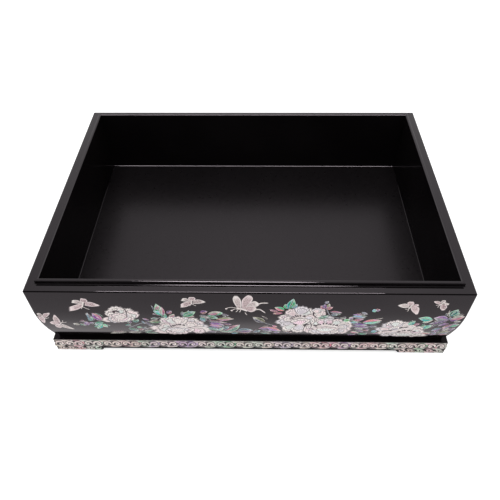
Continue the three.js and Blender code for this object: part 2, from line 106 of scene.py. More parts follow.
# %% [markdown]
# ## A helper for finished pieces
# Every new piece ends in the same way: its mesh becomes an object at the origin, it rides on the box, it
# stands for the CAD nodes it covers, and it takes a material slot. Weighted normals keep large lacquered
# faces flat in their reflections where they meet small roundings.

# %% Turn a bmesh into a piece of the box
crease = math.radians(40)


def put(name, data):
    """Put data into the scene as an object. A bmesh becomes a mesh first."""
    if isinstance(data, bmesh.types.BMesh):
        bm, data = data, bpy.data.meshes.new(name)
        bm.to_mesh(data)
        bm.free()
    thing = bpy.data.objects.new(name, data)
    scene.collection.objects.link(thing)
    return thing


def make_piece(bm, name, material, slot, nodes, weighted=False):
    bmesh.ops.recalc_face_normals(bm, faces=bm.faces)
    piece = put(name, bm)
    piece.data.shade_smooth()
    piece.data.set_sharp_from_angle(angle=crease)
    piece.data.materials.append(material)
    if weighted:
        piece.modifiers.new("weighted normals", "WEIGHTED_NORMAL").keep_sharp = True
    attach(piece, "root")
    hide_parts(*nodes)
    print(name, "faces:", len(piece.data.polygons))


# %% [markdown]
# ## Materials from nodes
# A material is a small graph. This class adds a node, sets its plain values and links the rest, so that
# each finish below can be read from top to bottom.

# %% Helpers for node graphs
class Graph:
    """The nodes of a material or of the world."""

    def __init__(self, owner):
        owner.use_nodes = True
        self.owner, self.tree = owner, owner.node_tree

    def fill(self, socket, value):
        if isinstance(value, bpy.types.NodeSocket):
            self.tree.links.new(value, socket)
        else:
            socket.default_value = value

    def add(self, kind, inputs, **settings):
        node = self.tree.nodes.new("ShaderNode" + kind)
        for key, value in settings.items():
            setattr(node, key, value)
        for key, value in inputs.items():
            self.fill(node.inputs[key], value)
        return node

    def shade(self, sockets):
        """Set plain values on the shader's own sockets, and link the ones that vary over the surface."""
        for key, value in sockets.items():
            self.fill(self.tree.nodes["Principled BSDF"].inputs[key], value)

    def number(self, operation, a, b=0.0):
        return self.add("Math", {0: a, 1: b}, operation=operation).outputs[0]

    def mapped(self, value, low, high, to_low, to_high):
        ends = {"Value": value, "From Min": low, "From Max": high, "To Min": to_low, "To Max": to_high}
        return self.add("MapRange", ends).outputs["Result"]

    def ramp(self, value, stops):
        node = self.add("ValToRGB", {"Fac": value})
        elements = node.color_ramp.elements
        for _ in range(len(stops) - len(elements)):
            elements.new(0.5)
        for element, (place, colour) in zip(elements, stops):
            element.position = place
            element.color = (*colour, 1.0)
        return node.outputs["Color"]

    def mix(self, share, a, b, blend="MIX"):
        """a is a link; b is a link or a plain colour."""
        b = b if isinstance(b, bpy.types.NodeSocket) else (*b, 1.0)
        return self.add("Mix", {"Factor": share, 6: a, 7: b}, data_type="RGBA", blend_type=blend).outputs[2]

    def noise(self, place, scale, detail, **more):
        inputs = {"Vector": place, "Scale": scale, "Detail": detail, **more}
        return self.add("TexNoise", inputs).outputs["Fac"]

    def bump(self, height, strength, distance, **settings):
        inputs = {"Height": height, "Strength": strength, "Distance": distance}
        return self.add("Bump", inputs, **settings).outputs["Normal"]

    def rays(self):
        """The kinds of ray, and a number that is 1 for what the camera sees and 0 for light and mirrors."""
        kinds = self.add("LightPath", {}).outputs
        return kinds, self.number("MAXIMUM", kinds["Is Camera Ray"], kinds["Is Transmission Ray"])

    def object_place(self):
        return self.add("TexCoord", {}).outputs["Object"]

    def split(self, vector):
        return self.add("SeparateXYZ", {"Vector": vector}).outputs


def new_material(name, sockets):
    graph = Graph(bpy.data.materials.new(name))
    graph.shade(sockets)
    return graph


# %% [markdown]
# ## Black lacquer
# Polished lacquer is a black mirror that gives back about one part in twenty of the light, with a hint of
# its brown-red sap. Fine rubbing marks change the roughness from place to place, and the surface has a
# faint long ripple. Inside the walls it was rubbed dull, and there its reflection is also turned down almost
# to nothing, a painted shade, so the box is darker there than outside.

# %% Make the lacquers
sap_tint = (1.0, 0.88, 0.96, 1.0)
deep_black, warm_black = (0.0026, 0.0021, 0.0024), (0.0046, 0.0038, 0.0042)
grains = ((14.0, 3.0), (260.0, 4.0), (34.0, 1.0))  # scale and detail of clouds, rubbing and ripple
painted_shade_level, dull_roughness = 0.02, 0.08


def inside_the_walls(graph, place):
    """1 on the inner faces of the walls, between the floor's fillet and the lip's rounding, else 0."""
    x, y, z = graph.split(place)
    within = graph.number("GREATER_THAN", z, floor_top + 0.8 * mm)
    limits = [(z, lip_high.z - 0.7 * mm)]
    for axis, half in ((x, half_length), (y, half_depth)):
        limits.append((graph.number("ABSOLUTE", axis), half - wall_inset + 0.1 * mm))
    for value, limit in limits:
        within = graph.number("MULTIPLY", within, graph.number("LESS_THAN", value, limit))
    return within


def lacquer(name, low, high, ripple, level=0.5, dark_inside=False):
    graph = new_material(name, {"Roughness": low, "Specular IOR Level": level, "Specular Tint": sap_tint})
    place = graph.object_place()
    cloud, rub, wave = (graph.noise(place, *grain) for grain in grains)
    colour = graph.ramp(cloud, [(0.3, deep_black), (0.7, warm_black)])
    spread = graph.mapped(rub, 0.3, 0.7, low, high)
    if dark_inside:
        within = inside_the_walls(graph, place)
        # inside the walls the reflection is turned down almost to nothing, a painted shade; the added
        # roughness is the rubbing
        graph.shade({"Specular IOR Level": graph.mapped(within, 0.0, 1.0, level, painted_shade_level)})
        spread = graph.number("ADD", spread, graph.number("MULTIPLY", within, dull_roughness))
    graph.shade({"Base Color": colour, "Roughness": spread, "Normal": graph.bump(wave, ripple, 0.0004)})
    return graph.owner


black_lacquer = lacquer("black_lacquer", 0.03, 0.06, 0.03, dark_inside=True)
floor_lacquer = lacquer("floor_lacquer", 0.27, 0.32, 0.06, level=0.30)
# the neck and the plinth reflect far less than the wall, a painted shade for the shadow under the body; the
# neck's roughness is its own dull finish
neck_lacquer = lacquer("neck_lacquer", 0.45, 0.55, 0.10, level=0.02)
plinth_lacquer = lacquer("plinth_lacquer", 0.12, 0.20, 0.06, level=0.14)
print("lacquers:", black_lacquer.name, floor_lacquer.name, neck_lacquer.name, plinth_lacquer.name)

# %% [markdown]
# ## The shell
# Two kinds are used. Pale pearl shell makes the blooms and butterflies, and abalone, green to violet,
# makes the leaves and the vine. Each plate carries two things of its own: a tint, and a map called grain
# that runs across the plate and from its root to its tip. The rim of a plate gets a painted highlight, the
# middle is duller, and the engraver's lines fan out along the grain. The play of colour inside the shell
# follows the place on the box, because shell is never one colour for long.

# %% Make the shell finishes
# engraved lines are near black, and the rims of the plates get a painted highlight of this white
engraved_black, painted_highlight_white = (0.03, 0.022, 0.03), (0.96, 0.90, 0.88)


def shell(
    name, gloss, hue_play, play_scale, vivid, line_count, line_depth, gap_depth, gap_start, middle, cloud,
    rim_highlight,
):
    graph = new_material(name, {"Roughness": 0.26, "Specular IOR Level": gloss})
    place = graph.object_place()
    tint = graph.add("Attribute", {}, attribute_name="tint")
    across, along, _ = graph.split(graph.add("UVMap", {}, uv_map="grain").outputs["UV"])
    play = graph.noise(place, play_scale, 4.0, Roughness=0.65, Distortion=1.5)
    fine = graph.noise(place, 1100.0, 2.0)
    hue = graph.mapped(play, 0.3, 0.7, 0.5 - hue_play, 0.5 + hue_play)
    turned = {"Hue": hue, "Saturation": vivid, "Color": tint.outputs["Color"]}
    shifted = graph.add("HueSaturation", turned).outputs["Color"]
    clouded = (cloud, cloud * 0.94, cloud * 0.97)
    glow = graph.ramp(fine, [(0.36, clouded), (0.5, (1.0, 1.0, 1.0)), (0.64, (1.3, 1.26, 1.28))])
    lively = graph.mix(0.85, shifted, glow, "MULTIPLY")
    # a painted highlight lightens the rim of the plate, and the middle is as dull as the tint's fourth number
    # says, in specks
    side = graph.number("MAXIMUM", graph.number("ABSOLUTE", across), along)
    inner = graph.mapped(side, 0.58, 0.80, 1.0, 0.0)
    speck = graph.mapped(fine, 0.44, 0.58, 0.3, 1.6)
    shade = graph.number("MULTIPLY", speck, graph.number("SUBTRACT", 1.0, tint.outputs["Alpha"]))
    pale = graph.number("GREATER_THAN", graph.add("RGBToBW", {0: tint.outputs["Color"]}).outputs[0], 0.06)
    rim = graph.number("MULTIPLY", graph.mapped(inner, 0.0, 1.0, rim_highlight, 0.0), pale)
    body = graph.mix(graph.number("MULTIPLY", inner, shade), graph.mix(rim, lively, painted_highlight_white), middle)
    # the engraver's lines fan out from the root and waver a little, and a hair of lacquer bounds the plate
    fanned = graph.number("MULTIPLY", across, line_count)
    fanned = graph.number("ADD", fanned, graph.number("MULTIPLY", fine, 0.30))
    cut = graph.mapped(graph.number("PINGPONG", fanned, 0.5), 0.05, 0.20, line_depth, 0.0)
    gap = graph.mapped(side, gap_start, gap_start + 0.08, 0.0, gap_depth)
    engraved = graph.number("MAXIMUM", cut, gap)
    colour = graph.mix(engraved, body, engraved_black)
    graph.shade({"Base Color": colour, "Normal": graph.bump(engraved, 0.3, 0.00005, invert=True)})
    return graph.owner


pearl = shell(
    "pearl_shell", gloss=0.5, hue_play=0.05, play_scale=200.0, vivid=1.0, line_count=3.1, line_depth=0.38,
    gap_depth=0.80, gap_start=0.865, middle=(0.24, 0.15, 0.16), cloud=0.72, rim_highlight=0.4,
)
abalone = shell(
    "abalone_shell", gloss=0.25, hue_play=0.11, play_scale=240.0, vivid=1.5, line_count=2.0, line_depth=0.60,
    gap_depth=0.55, gap_start=0.90, middle=(0.045, 0.04, 0.06), cloud=0.45, rim_highlight=0.6,
)
vine_shell = shell(
    "vine_shell", gloss=0.12, hue_play=0.08, play_scale=260.0, vivid=1.5, line_count=0.0, line_depth=0.0,
    gap_depth=0.45, gap_start=0.88, middle=(0.04, 0.03, 0.04), cloud=0.50, rim_highlight=0.5,
)
print("shells:", pearl.name, abalone.name, vine_shell.name)

# %% [markdown]
# ## Hidden wood
# The blocks inside the plinth are plain softwood and the pegs are bamboo. The grain is a noise stretched
# along the piece, so that it reads as fibres.

# %% Make the woods and give the kept nodes their finish
def wood(name, pale, dark, stretch):
    graph = new_material(name, {"Roughness": 0.6})
    moved = graph.add("Mapping", {"Vector": graph.object_place(), "Scale": stretch}).outputs["Vector"]
    fibre = graph.noise(moved, 60.0, 5.0)
    colour = graph.ramp(fibre, [(0.3, dark), (0.7, pale)])
    graph.shade({"Base Color": colour, "Normal": graph.bump(fibre, 0.2, 0.0003)})
    return graph.owner


softwood = wood("softwood", (0.42, 0.26, 0.13), (0.25, 0.13, 0.055), (6.0, 6.0, 0.8))
bamboo = wood("bamboo", (0.58, 0.42, 0.20), (0.36, 0.22, 0.08), (9.0, 9.0, 0.7))
kept = {"corner": softwood, "peg": bamboo, "floor": floor_lacquer, "base": neck_lacquer}
for name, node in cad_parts.items():
    finish = kept.get(name.split("_")[0])
    if finish:
        node.data.materials.clear()
        node.data.materials.append(finish)
print("kept nodes have their finish")

# %% [markdown]
# ## One way to make every frame of the box
# The wall, the lip and the plinth are all a profile taken round a rectangle. A bmesh circle with one
# vertex for each point of the profile is the first section. It is extruded from station to station, and
# at every station each vertex is set by its own point of the profile. The last section meets the first,
# and merging the doubles closes the ring.

# %% Sweep a profile round the box
def corner(x_sign, y_sign):
    def put_point(inset, height):
        return Vector((x_sign * (half_length - inset), y_sign * (half_depth - inset), height))

    return put_point


corners = [corner(-1, -1), corner(1, -1), corner(1, 1), corner(-1, 1)]


def sweep_round(profile, stations):
    bm = bmesh.new()
    role = bm.verts.layers.int.new("role")
    section = bmesh.ops.create_circle(bm, segments=len(profile), radius=1.0)["verts"]
    for count, vert in enumerate(section):
        vert[role] = count
        vert.co = stations[0](*profile[count])
    edges = list(bm.edges)
    for station in [*stations[1:], stations[0]]:
        grown = bmesh.ops.extrude_edge_only(bm, edges=edges)["geom"]
        section = {item for item in grown if isinstance(item, bmesh.types.BMVert)}
        for vert in section:
            vert.co = station(*profile[vert[role]])
        edges = [edge for edge in bm.edges if section.issuperset(edge.verts)]
    bmesh.ops.remove_doubles(bm, verts=bm.verts, dist=1e-6)
    return bm, role


def round_off(bm, edges, width, segments, profile=0.5):
    bmesh.ops.bevel(
        bm, geom=edges, offset=width, offset_type="OFFSET", affect="EDGES", segments=segments,
        profile=profile, material=-1,
    )


def to_round(bm, role, wanted, ends):
    """The edges between the wanted points of the profile where faces turn, and all edges along the ends."""
    chosen = []
    for edge in bm.edges:
        roles = {vert[role] for vert in edge.verts}
        turning = roles <= wanted and len(edge.link_faces) == 2 and edge.calc_face_angle() > math.radians(30)
        if turning or (len(roles) == 1 and roles <= ends):
            chosen.append(edge)
    return chosen


# %% [markdown]
# ## The lacquered wall
# Four boards are joined and lacquered as one, so the skin has no seams. Its profile starts at the lower
# edge, follows the swell to the rim, crosses the ledge and goes down the inside. At the floor the lacquer
# ends in a small hollow fillet, which catches a thin line of light in the real box.

# %% Make the wall
swell_steps, fillet_steps = 20, 4
fillet_radius, fillet_base = 0.9 * mm, floor_top + 0.02 * mm
lip_seat = ledge_height - 10 * mm

outside = []
for step in range(swell_steps + 1):
    height = floor_top + (swell_top - floor_top) * step / swell_steps
    outside.append((swell(height) + shell_proud, height))
outside.append((shell_proud, ledge_height))
inside = [(lip_inset, ledge_height), (lip_inset, lip_seat), (wall_inset, lip_seat)]
for step in range(fillet_steps + 1):
    turn = math.pi / 2 * step / fillet_steps
    back, drop = fillet_radius * (1 - math.cos(turn)), fillet_radius * (1 - math.sin(turn))
    inside.append((wall_inset + back, fillet_base + drop))
foot = [(wall_inset, height) for height in (fillet_base, base_high.z)]
foot += [(neck_inset, height) for height in (base_high.z, floor_top)]
wall, role = sweep_round(outside + inside + foot, corners)
lower_edge_and_rim = {0, len(outside) - 1}
round_off(wall, to_round(wall, role, set(range(len(outside))), lower_edge_and_rim), 1.0 * mm, 6, profile=0.36)
walls = [side + "_wall" for side in sides]
make_piece(wall, "lacquered_wall", black_lacquer, "black_lacquer", walls, weighted=True)

# %% [markdown]
# ## The lip
# The strip that locates the lid stands in a rebate of the wall. Its top edges are rubbed round, and a
# fillet of lacquer fills the corner between it and the ledge.

# %% Make the lip
lip_top = lip_high.z
ease = 1.0 * mm
lip_profile = []
for turn in (0, 0.4, 0.8, 1.2):
    lip_profile.append((lip_inset - ease * (1 - math.sin(turn)), ledge_height + ease * (1 - math.cos(turn))))
lip_profile += [(lip_inset, height) for height in (ledge_height + ease, lip_top)]
lip_profile += [(wall_inset, height) for height in (lip_top, lip_seat)]
lip_profile += [(lip_inset, height) for height in (lip_seat, ledge_height)]
lip, role = sweep_round(lip_profile, corners)
top_edges = {count for count, (inset, height) in enumerate(lip_profile) if height == lip_top}
round_off(lip, to_round(lip, role, set(), top_edges), 0.95 * mm, 5)
strips = [side + "_lip_strip" for side in sides]
make_piece(lip, "lip", black_lacquer, "black_lacquer", strips, weighted=True)

# %% [markdown]
# ## The plinth
# The rails are swept as one frame too. Between the corners there are more stations, because the lower
# edge rises from each foot in an ogee, a curve like a flat S, and runs level between them.

# %% Make the plinth
apron_rise, apron_step, foot_length = 3 * mm, 3.6 * mm, 41 * mm
bend_steps = 8


def apron(distance):
    """Height of the lower edge, at a distance inside the outer end of a foot."""
    share = min(1.0, max(0.0, (distance - foot_length) / apron_step))
    return apron_rise * (1 - math.cos(math.pi * share)) / 2


def rail_stations(half_along, half_across, turn):
    spin = Matrix.Rotation(turn, 3, "Z")
    end = half_along - plinth_inset
    bends = [end - foot_length - apron_step * step / bend_steps for step in range(bend_steps + 1)]

    def station(x):
        def put_point(inset, height):
            low = apron(end - abs(x)) if height < plinth_height / 2 else height
            return spin @ Vector((x, -(half_across - inset), low))

        return put_point

    return [station(x) for x in sorted([-x for x in bends] + bends)]


stations = []
for side, start in zip(sides, corners):
    stations += [start, *rail_stations(*spans[side], turns[side])]
face = plinth_inset + shell_proud
section = [(face, 0.0), (face, plinth_height), (rail_inner, plinth_height), (rail_inner, 0.0)]
plinth, role = sweep_round(section, stations)
round_off(plinth, to_round(plinth, role, {0, 1}, {0, 1}), 0.45 * mm, 3)
rails = [side + "_plinth_rail" for side in sides]
make_piece(plinth, "plinth_frame", plinth_lacquer, "black_lacquer", rails, weighted=True)

# %% [markdown]
# ## Cutting shell
# A plate of shell starts as a flat bmesh grid. A shaping function moves each vertex: it gets the place
# across the plate (-1 to 1) and along it (0 to 1), and gives back a point of the drawing in millimetres.
# The same two numbers go into the grain map. Plates of one bloom overlap, each a few hundredths of a
# millimetre behind the one in front, and their layer sets which is seen.

# %% Cut a plate
layer_depth, shade_play = 0.009, 0.09


class Drawing:
    """Plates of shell in the flat: x along the face, z up, and the layer as depth, all in millimetres."""

    def __init__(self, seed):
        self.bm = bmesh.new()
        self.grain = self.bm.loops.layers.uv.new("grain")
        self.tint = self.bm.verts.layers.float_color.new("tint")
        self.dice = random.Random(seed)

    def plate(self, shape, tint, layer, columns=2, rows=6, middle=0.8):
        made = bmesh.ops.create_grid(self.bm, x_segments=columns, y_segments=rows, size=1.0)["verts"]
        shade = 1 + self.dice.uniform(-shade_play, shade_play)
        for vert in made:
            across, along = vert.co.x, (vert.co.y + 1) / 2
            for loop in vert.link_loops:
                loop[self.grain].uv = (across, along)
            vert[self.tint] = (*(channel * shade for channel in tint), middle)
            x, z = shape(across, along)
            vert.co = (x, layer * layer_depth, z)


# %% [markdown]
# ## Four shapes
# Nearly the whole inlay is made of four cuts. A blade is a leaf or a feeler: it grows from a point in a
# direction, and may bend. A fan is a petal with a scalloped end. A wing lies between two smooth edges.
# A thread is a thin stem through a few points.

# %% Shapes for the plates
half_round, full_round = (0.62, 2.0, 0.06), (0.95, 3.6, 0.026)


def place_on(x, z, turn, reach, offset):
    cosine, sine = math.cos(turn), math.sin(turn)
    return x + reach * cosine - offset * sine, z + reach * sine + offset * cosine


def blade(x, z, degrees, length, width, fullness=0.8, bend=0.0, side=0.0):
    """side is -1 or 1 for one half of a leaf, split along its midrib, and 0 for a whole blade."""

    def shape(across, along):
        turn = math.radians(degrees + bend * (along - 0.5))
        half = width / 2 * max(0.0, math.sin(math.pi * along**fullness))
        if side:
            across = side * (0.10 + 0.45 * (across * side + 1))
        return place_on(x, z, turn, length * along, half * across)

    return shape


def fan(x, z, degrees, length, width, lobes=3, end=half_round):
    """end says how far the petal's end falls back to its sides, how late, and how deep its lobes are."""
    fall, power, depth = end

    def shape(across, along):
        lobe = 2 * abs(math.cos(lobes * math.pi / 2 * across)) - 1
        crown = math.sqrt(1 - fall * abs(across)**power) + depth * along * lobe
        half = width / 2 * (0.25 + 0.75 * math.sin(math.pi / 2 * along))
        return place_on(x, z, math.radians(degrees), length * along * crown, half * across)

    return shape


def smooth_path(points, share):
    """A point on a smooth curve through the points, share 0 to 1, and the direction there."""
    reach = share * (len(points) - 1)
    first = min(int(reach), len(points) - 2)
    t = reach - first
    around = [points[min(max(first + step, 0), len(points) - 1)] for step in (-1, 0, 1, 2)]
    before, a, b, after = (Vector(point) for point in around)
    slope_a, slope_b = (b - before) / 2, (after - a) / 2
    place = (
        a * (2 * t**3 - 3 * t**2 + 1) + slope_a * (t**3 - 2 * t**2 + t)
        + b * (3 * t**2 - 2 * t**3) + slope_b * (t**3 - t**2)
    )
    heading = (
        a * (6 * t**2 - 6 * t) + slope_a * (3 * t**2 - 4 * t + 1)
        + b * (6 * t - 6 * t**2) + slope_b * (3 * t**2 - 2 * t)
    )
    return place, heading.normalized()


def wing(edge, other_edge):
    def shape(across, along):
        one, two = smooth_path(edge, along)[0], smooth_path(other_edge, along)[0]
        return one.lerp(two, (across + 1) / 2).to_tuple()

    return shape


def thread(points, start_width, end_width):
    def shape(across, along):
        place, heading = smooth_path(points, along)
        half = (start_width + (end_width - start_width) * along) / 2
        return place.x - half * across * heading.y, place.y + half * across * heading.x

    return shape


print("shapes ready: blade, fan, wing and thread")

# %% [markdown]
# ## Bedding the shell
# A finished drawing is given its thickness and bent onto a face of the box: every vertex goes as far
# behind the rim as the wall is at its height. The front of the foremost plate lies at the finished size,
# and the lacquer is rubbed back a tenth of a millimetre lower.

# %% Bed a drawing in a face
plate_thickness = 0.25 * mm


def bed(drawing, side, node, material, slot, inset=None):
    bm = drawing.bm
    bmesh.ops.remove_doubles(bm, verts=bm.verts, dist=0.004)
    bmesh.ops.dissolve_degenerate(bm, edges=bm.edges, dist=0.002)
    bmesh.ops.scale(bm, verts=bm.verts, vec=(mm, mm, mm))
    grown = bmesh.ops.extrude_face_region(bm, geom=bm.faces[:])["geom"]
    back = [item for item in grown if isinstance(item, bmesh.types.BMVert)]
    bmesh.ops.translate(bm, verts=back, vec=(0, plate_thickness, 0))
    _, distance = spans[side]
    for vert in bm.verts:
        vert.co.y += (swell(vert.co.z) if inset is None else inset) - distance
    bmesh.ops.rotate(bm, verts=bm.verts, cent=(0, 0, 0), matrix=Matrix.Rotation(turns[side], 3, "Z"))
    make_piece(bm, node + "_shell", material, slot, [node])


# %% [markdown]
# ## From a list of designs to the inlay
# The designs of one kind are numbered from 1, as the nodes are, and each has its own seed, so that the
# same shell is cut in every run. A design is written as a pattern maker would list it: a blank parts the
# numbers of a point, a comma the points, a semicolon the lines, a bar the parts of a motif, and an empty
# line the motifs.

# %% Read the designs and lay them in
# For each kind: what is added to the seed, the material and its slot.
kinds = {
    "butterfly": (0, pearl, "pearl_shell"), "peony": (20, pearl, "pearl_shell"),
    "leaf_spray": (40, abalone, "abalone_shell"),
}


def points(text):
    return [tuple(map(float, row.split())) for row in text.split(",") if row.strip()]


def lines(text):
    return [points(part) for part in text.split(";")]


def motifs(text):
    return text.strip().split("\n\n")


def inlay(side, kind, designs, draw, seed=0):
    first, material, slot = kinds[kind]
    for count, design in enumerate(designs, 1):
        drawing = Drawing(seed + first + count)
        draw(drawing, design)
        bed(drawing, side, f"{side}_{kind}_{count}", material, slot)


# %% [markdown]
# ## Colours of the shell
# Pearl shell is a warm, pinkish white. Abalone runs from teal and green to rose and violet, and a plate
# is cut where the colour suits the leaf. The numbers are light, not paint: they are linear values. The
# abalone tints go by a letter: teal, mint, green, olive, rose, lilac, violet, grey (Y), cream and sky.

# %% Name the tints
rose_pearl, white_pearl, grey_pearl = (0.98, 0.80, 0.80), (1.0, 0.92, 0.88), (0.84, 0.80, 0.86)
petal_tints = [rose_pearl, white_pearl, white_pearl, grey_pearl]
blush = [*petal_tints, (0.86, 0.92, 0.88), (0.98, 0.72, 0.82)]
dark_cut = (0.05, 0.02, 0.035)
tints = {
    "T": (0.08, 0.50, 0.42), "M": (0.42, 0.76, 0.60), "G": (0.20, 0.52, 0.30), "O": (0.42, 0.44, 0.26),
    "R": (0.80, 0.40, 0.48), "L": (0.52, 0.38, 0.64), "V": (0.30, 0.14, 0.42), "Y": (0.34, 0.36, 0.40),
    "C": (0.82, 0.74, 0.66), "S": (0.42, 0.64, 0.74),
}
print("tints:", ", ".join(tints))

# %% [markdown]
# ## Peonies
# A peony is drawn from a little above, as a bowl of petals round a row of stamens. Each petal is a fan
# with its own root, direction, length and width. The first petals of a list lie deepest and the last is
# the front of the bowl. The stamens are short dark cuts along a line, and a few longer gaps are left dark.

# %% Draw a peony
heart_width, deepest = 14.0, 11


def peony(drawing, petals, stamens, cuts, gaps=(), end=half_round):
    dice, plate = drawing.dice, drawing.plate
    for count, petal in enumerate(petals):
        tint = dice.choice(petal_tints)
        layer = deepest - 10 * count / len(petals)
        x, z, degrees, length, width = petal
        plate(fan(*petal, dice.choice([3, 4]), end), tint, layer, columns=18, rows=6, middle=0.9)
        start = place_on(x, z, math.radians(degrees), 0.05 * length, 0)
        lean = degrees + dice.uniform(-14, 14)
        curled = fan(*start, lean, length * 0.68, width * 0.66, dice.choice([2, 3]), end)
        plate(curled, dice.choice(blush), layer - 0.4, columns=12, rows=5, middle=dice.choice([0.8, 1.0]))
    if cuts:
        row = [Vector(point) for point in stamens]
        heart = [2 * row[0] - row[1], *row, 2 * row[-1] - row[-2]]
        plate(thread(heart, heart_width, heart_width), white_pearl, deepest + 0.6, columns=4, rows=12)
    for step in range(cuts):
        place, heading = smooth_path(stamens, (step + 0.5) / cuts)
        slope = math.degrees(math.atan2(heading.y, heading.x)) + 90 + dice.uniform(-25, 25)
        stamen = blade(place.x, place.y, slope, dice.uniform(2.6, 3.8), 1.5)
        plate(stamen, dark_cut, 0, rows=3, middle=1.0)
    for line, width in gaps:
        plate(thread(line, width, width * 0.5), dark_cut, 0, rows=8, middle=1.0)


# %% The peonies of the front
# The heads of a double bloom are joined by an ampersand. The parts of a head are its petals, the row of
# stamens, their number, and the gaps, each with its width.
front_peonies = """
-109 60 85 11.6 15, -111 59 146 9.5 11, -109 60 48 11.5 9, -104 56 62 14.5 8, -104 55 36 15 12,
-104 54 14 8 9, -106 54 190 19.5 9, -108 57 222 13 12, -109 57 255 10 13, -107 57 290 9 15, -112 55 118 9 9,
-104 55 62 9 9, -108.5 52 86 10.5 14
| -112 62.4, -110 63.2, -108 62.6 | 0
| 2.6: -112.8 62.8, -110.2 65, -107 63.8
| 0.9: -102.5 68.8, -101.4 63, -102.6 56.5

-66 46 130 12 11, -64 46 100 12 12, -57 46 62 12.5 11, -60 46 84 12 11, -52 45 48 13 11, -50 43 26 13 9,
-66 43 163 11 8, -50 40 7 16 9, -62 34 170 25 13, -50 38 -17 18 12, -62 34 192 22 13, -50 37 -40 14 12,
-62 36 233 14 15, -56 38 -62 10 14, -60 36 262 12 16, -68 38 128 10 9, -52 40 58 11 11, -62 30 90 8.5 21
| -68 38.5, -64 41, -59.5 43, -55 41.5 | 10

56 50 118 10 10, 60 50 96 11.5 11, 65 50 72 10.5 11, 58 46 122 9 9, 62 47 96 9 10, 67 47 78 10 11,
72 46 58 11 11, 76 45 30 12.5 10, 76 43 7 13 9, 76 40 -14 12.5 9, 75 38 -38 12.5 11, 70 38 -68 11 13,
60 38 248 11.5 13, 65 38 268 11 14, 77 40 42 8 9, 56 41 150 7 9, 66 33 90 9.5 25
| 54.5 44, 58 43, 61 45.5, 66 46.8, 71 44.8, 76 43.5 | 13
&
58 64 70 7.5 8, 57 64 108 7.5 8, 59 63 25 5 7, 56 61 175 5 7, 58 60 90 5 7
| | 0
&
40 60 148 11 10, 38 60 116 10.5 11, 45 61 58 11.5 11, 43 62 84 11.8 13, 36 56 170 11.5 9, 36 52 190 14 9,
38 50 214 13 10, 38 46 240 14 12, 44 46 262 16 14, 51 46 284 17 14, 47 56 20 9 9, 48 52 -10 8 10,
37 52 140 9 9, 44 46 95 10.5 18
| 36 54.5, 39 57.5, 43 59, 47 58 | 8
| 1.3: 53.5 65, 54 61, 57.5 57
| 1: 52 50, 53.4 44, 52 37

124 42 150 12.5 10, 124 44 120 10.5 11, 128 43 70 10 9, 125 44 93 11 11, 131 43 58 10.5 8, 136 40 45 8 9,
140 38 20 10 10, 140 34 0 12 9, 138 30 -14 19 8, 122 38 174 14 8, 124 34 196 13.5 9, 126 32 216 12.5 10,
143 30 -50 8 12, 130 32 250 9 15, 137 32 278 9 15, 127 36 120 9 10, 142 34 55 8 9, 135 24 90 8 23
| 130 32, 133 34.5, 138 35.2, 143 32.5 | 11
| 1.3: 119 30.2, 122 28.4, 126 28.2
| 1.3: 115 34.4, 122 37, 127 40.6
"""


def peony_design(drawing, design):
    for head in design.split("&"):
        petals, stamens, cuts, *gaps = head.split("|")
        gaps = [gap.split(":") for gap in gaps]
        gaps = [(points(line), float(width)) for width, line in gaps]
        peony(drawing, points(petals), points(stamens), int(cuts), gaps)


inlay("front", "peony", motifs(front_peonies), peony_design)

# %% [markdown]
# ## Butterflies
# Seen from above, a butterfly has two pointed fore wings and two round hind wings. Each wing lies between
# two edges, given by a few points, so each butterfly of the front flies its own way.

# %% Draw a butterfly
body_width = 1.5


def butterfly(drawing, wings, body, feelers):
    dice, plate = drawing.dice, drawing.plate
    for count, edges in enumerate(wings):
        tint = dice.choice([rose_pearl, white_pearl])
        plate(wing(*edges), tint, 2 + count, columns=5, rows=8, middle=dice.uniform(0.3, 0.6))
    plate(thread(body, body_width, body_width * 0.7), white_pearl, 1, rows=5)
    for feeler in feelers:
        plate(thread(feeler, 0.6, 0.45), white_pearl, 0, rows=6)


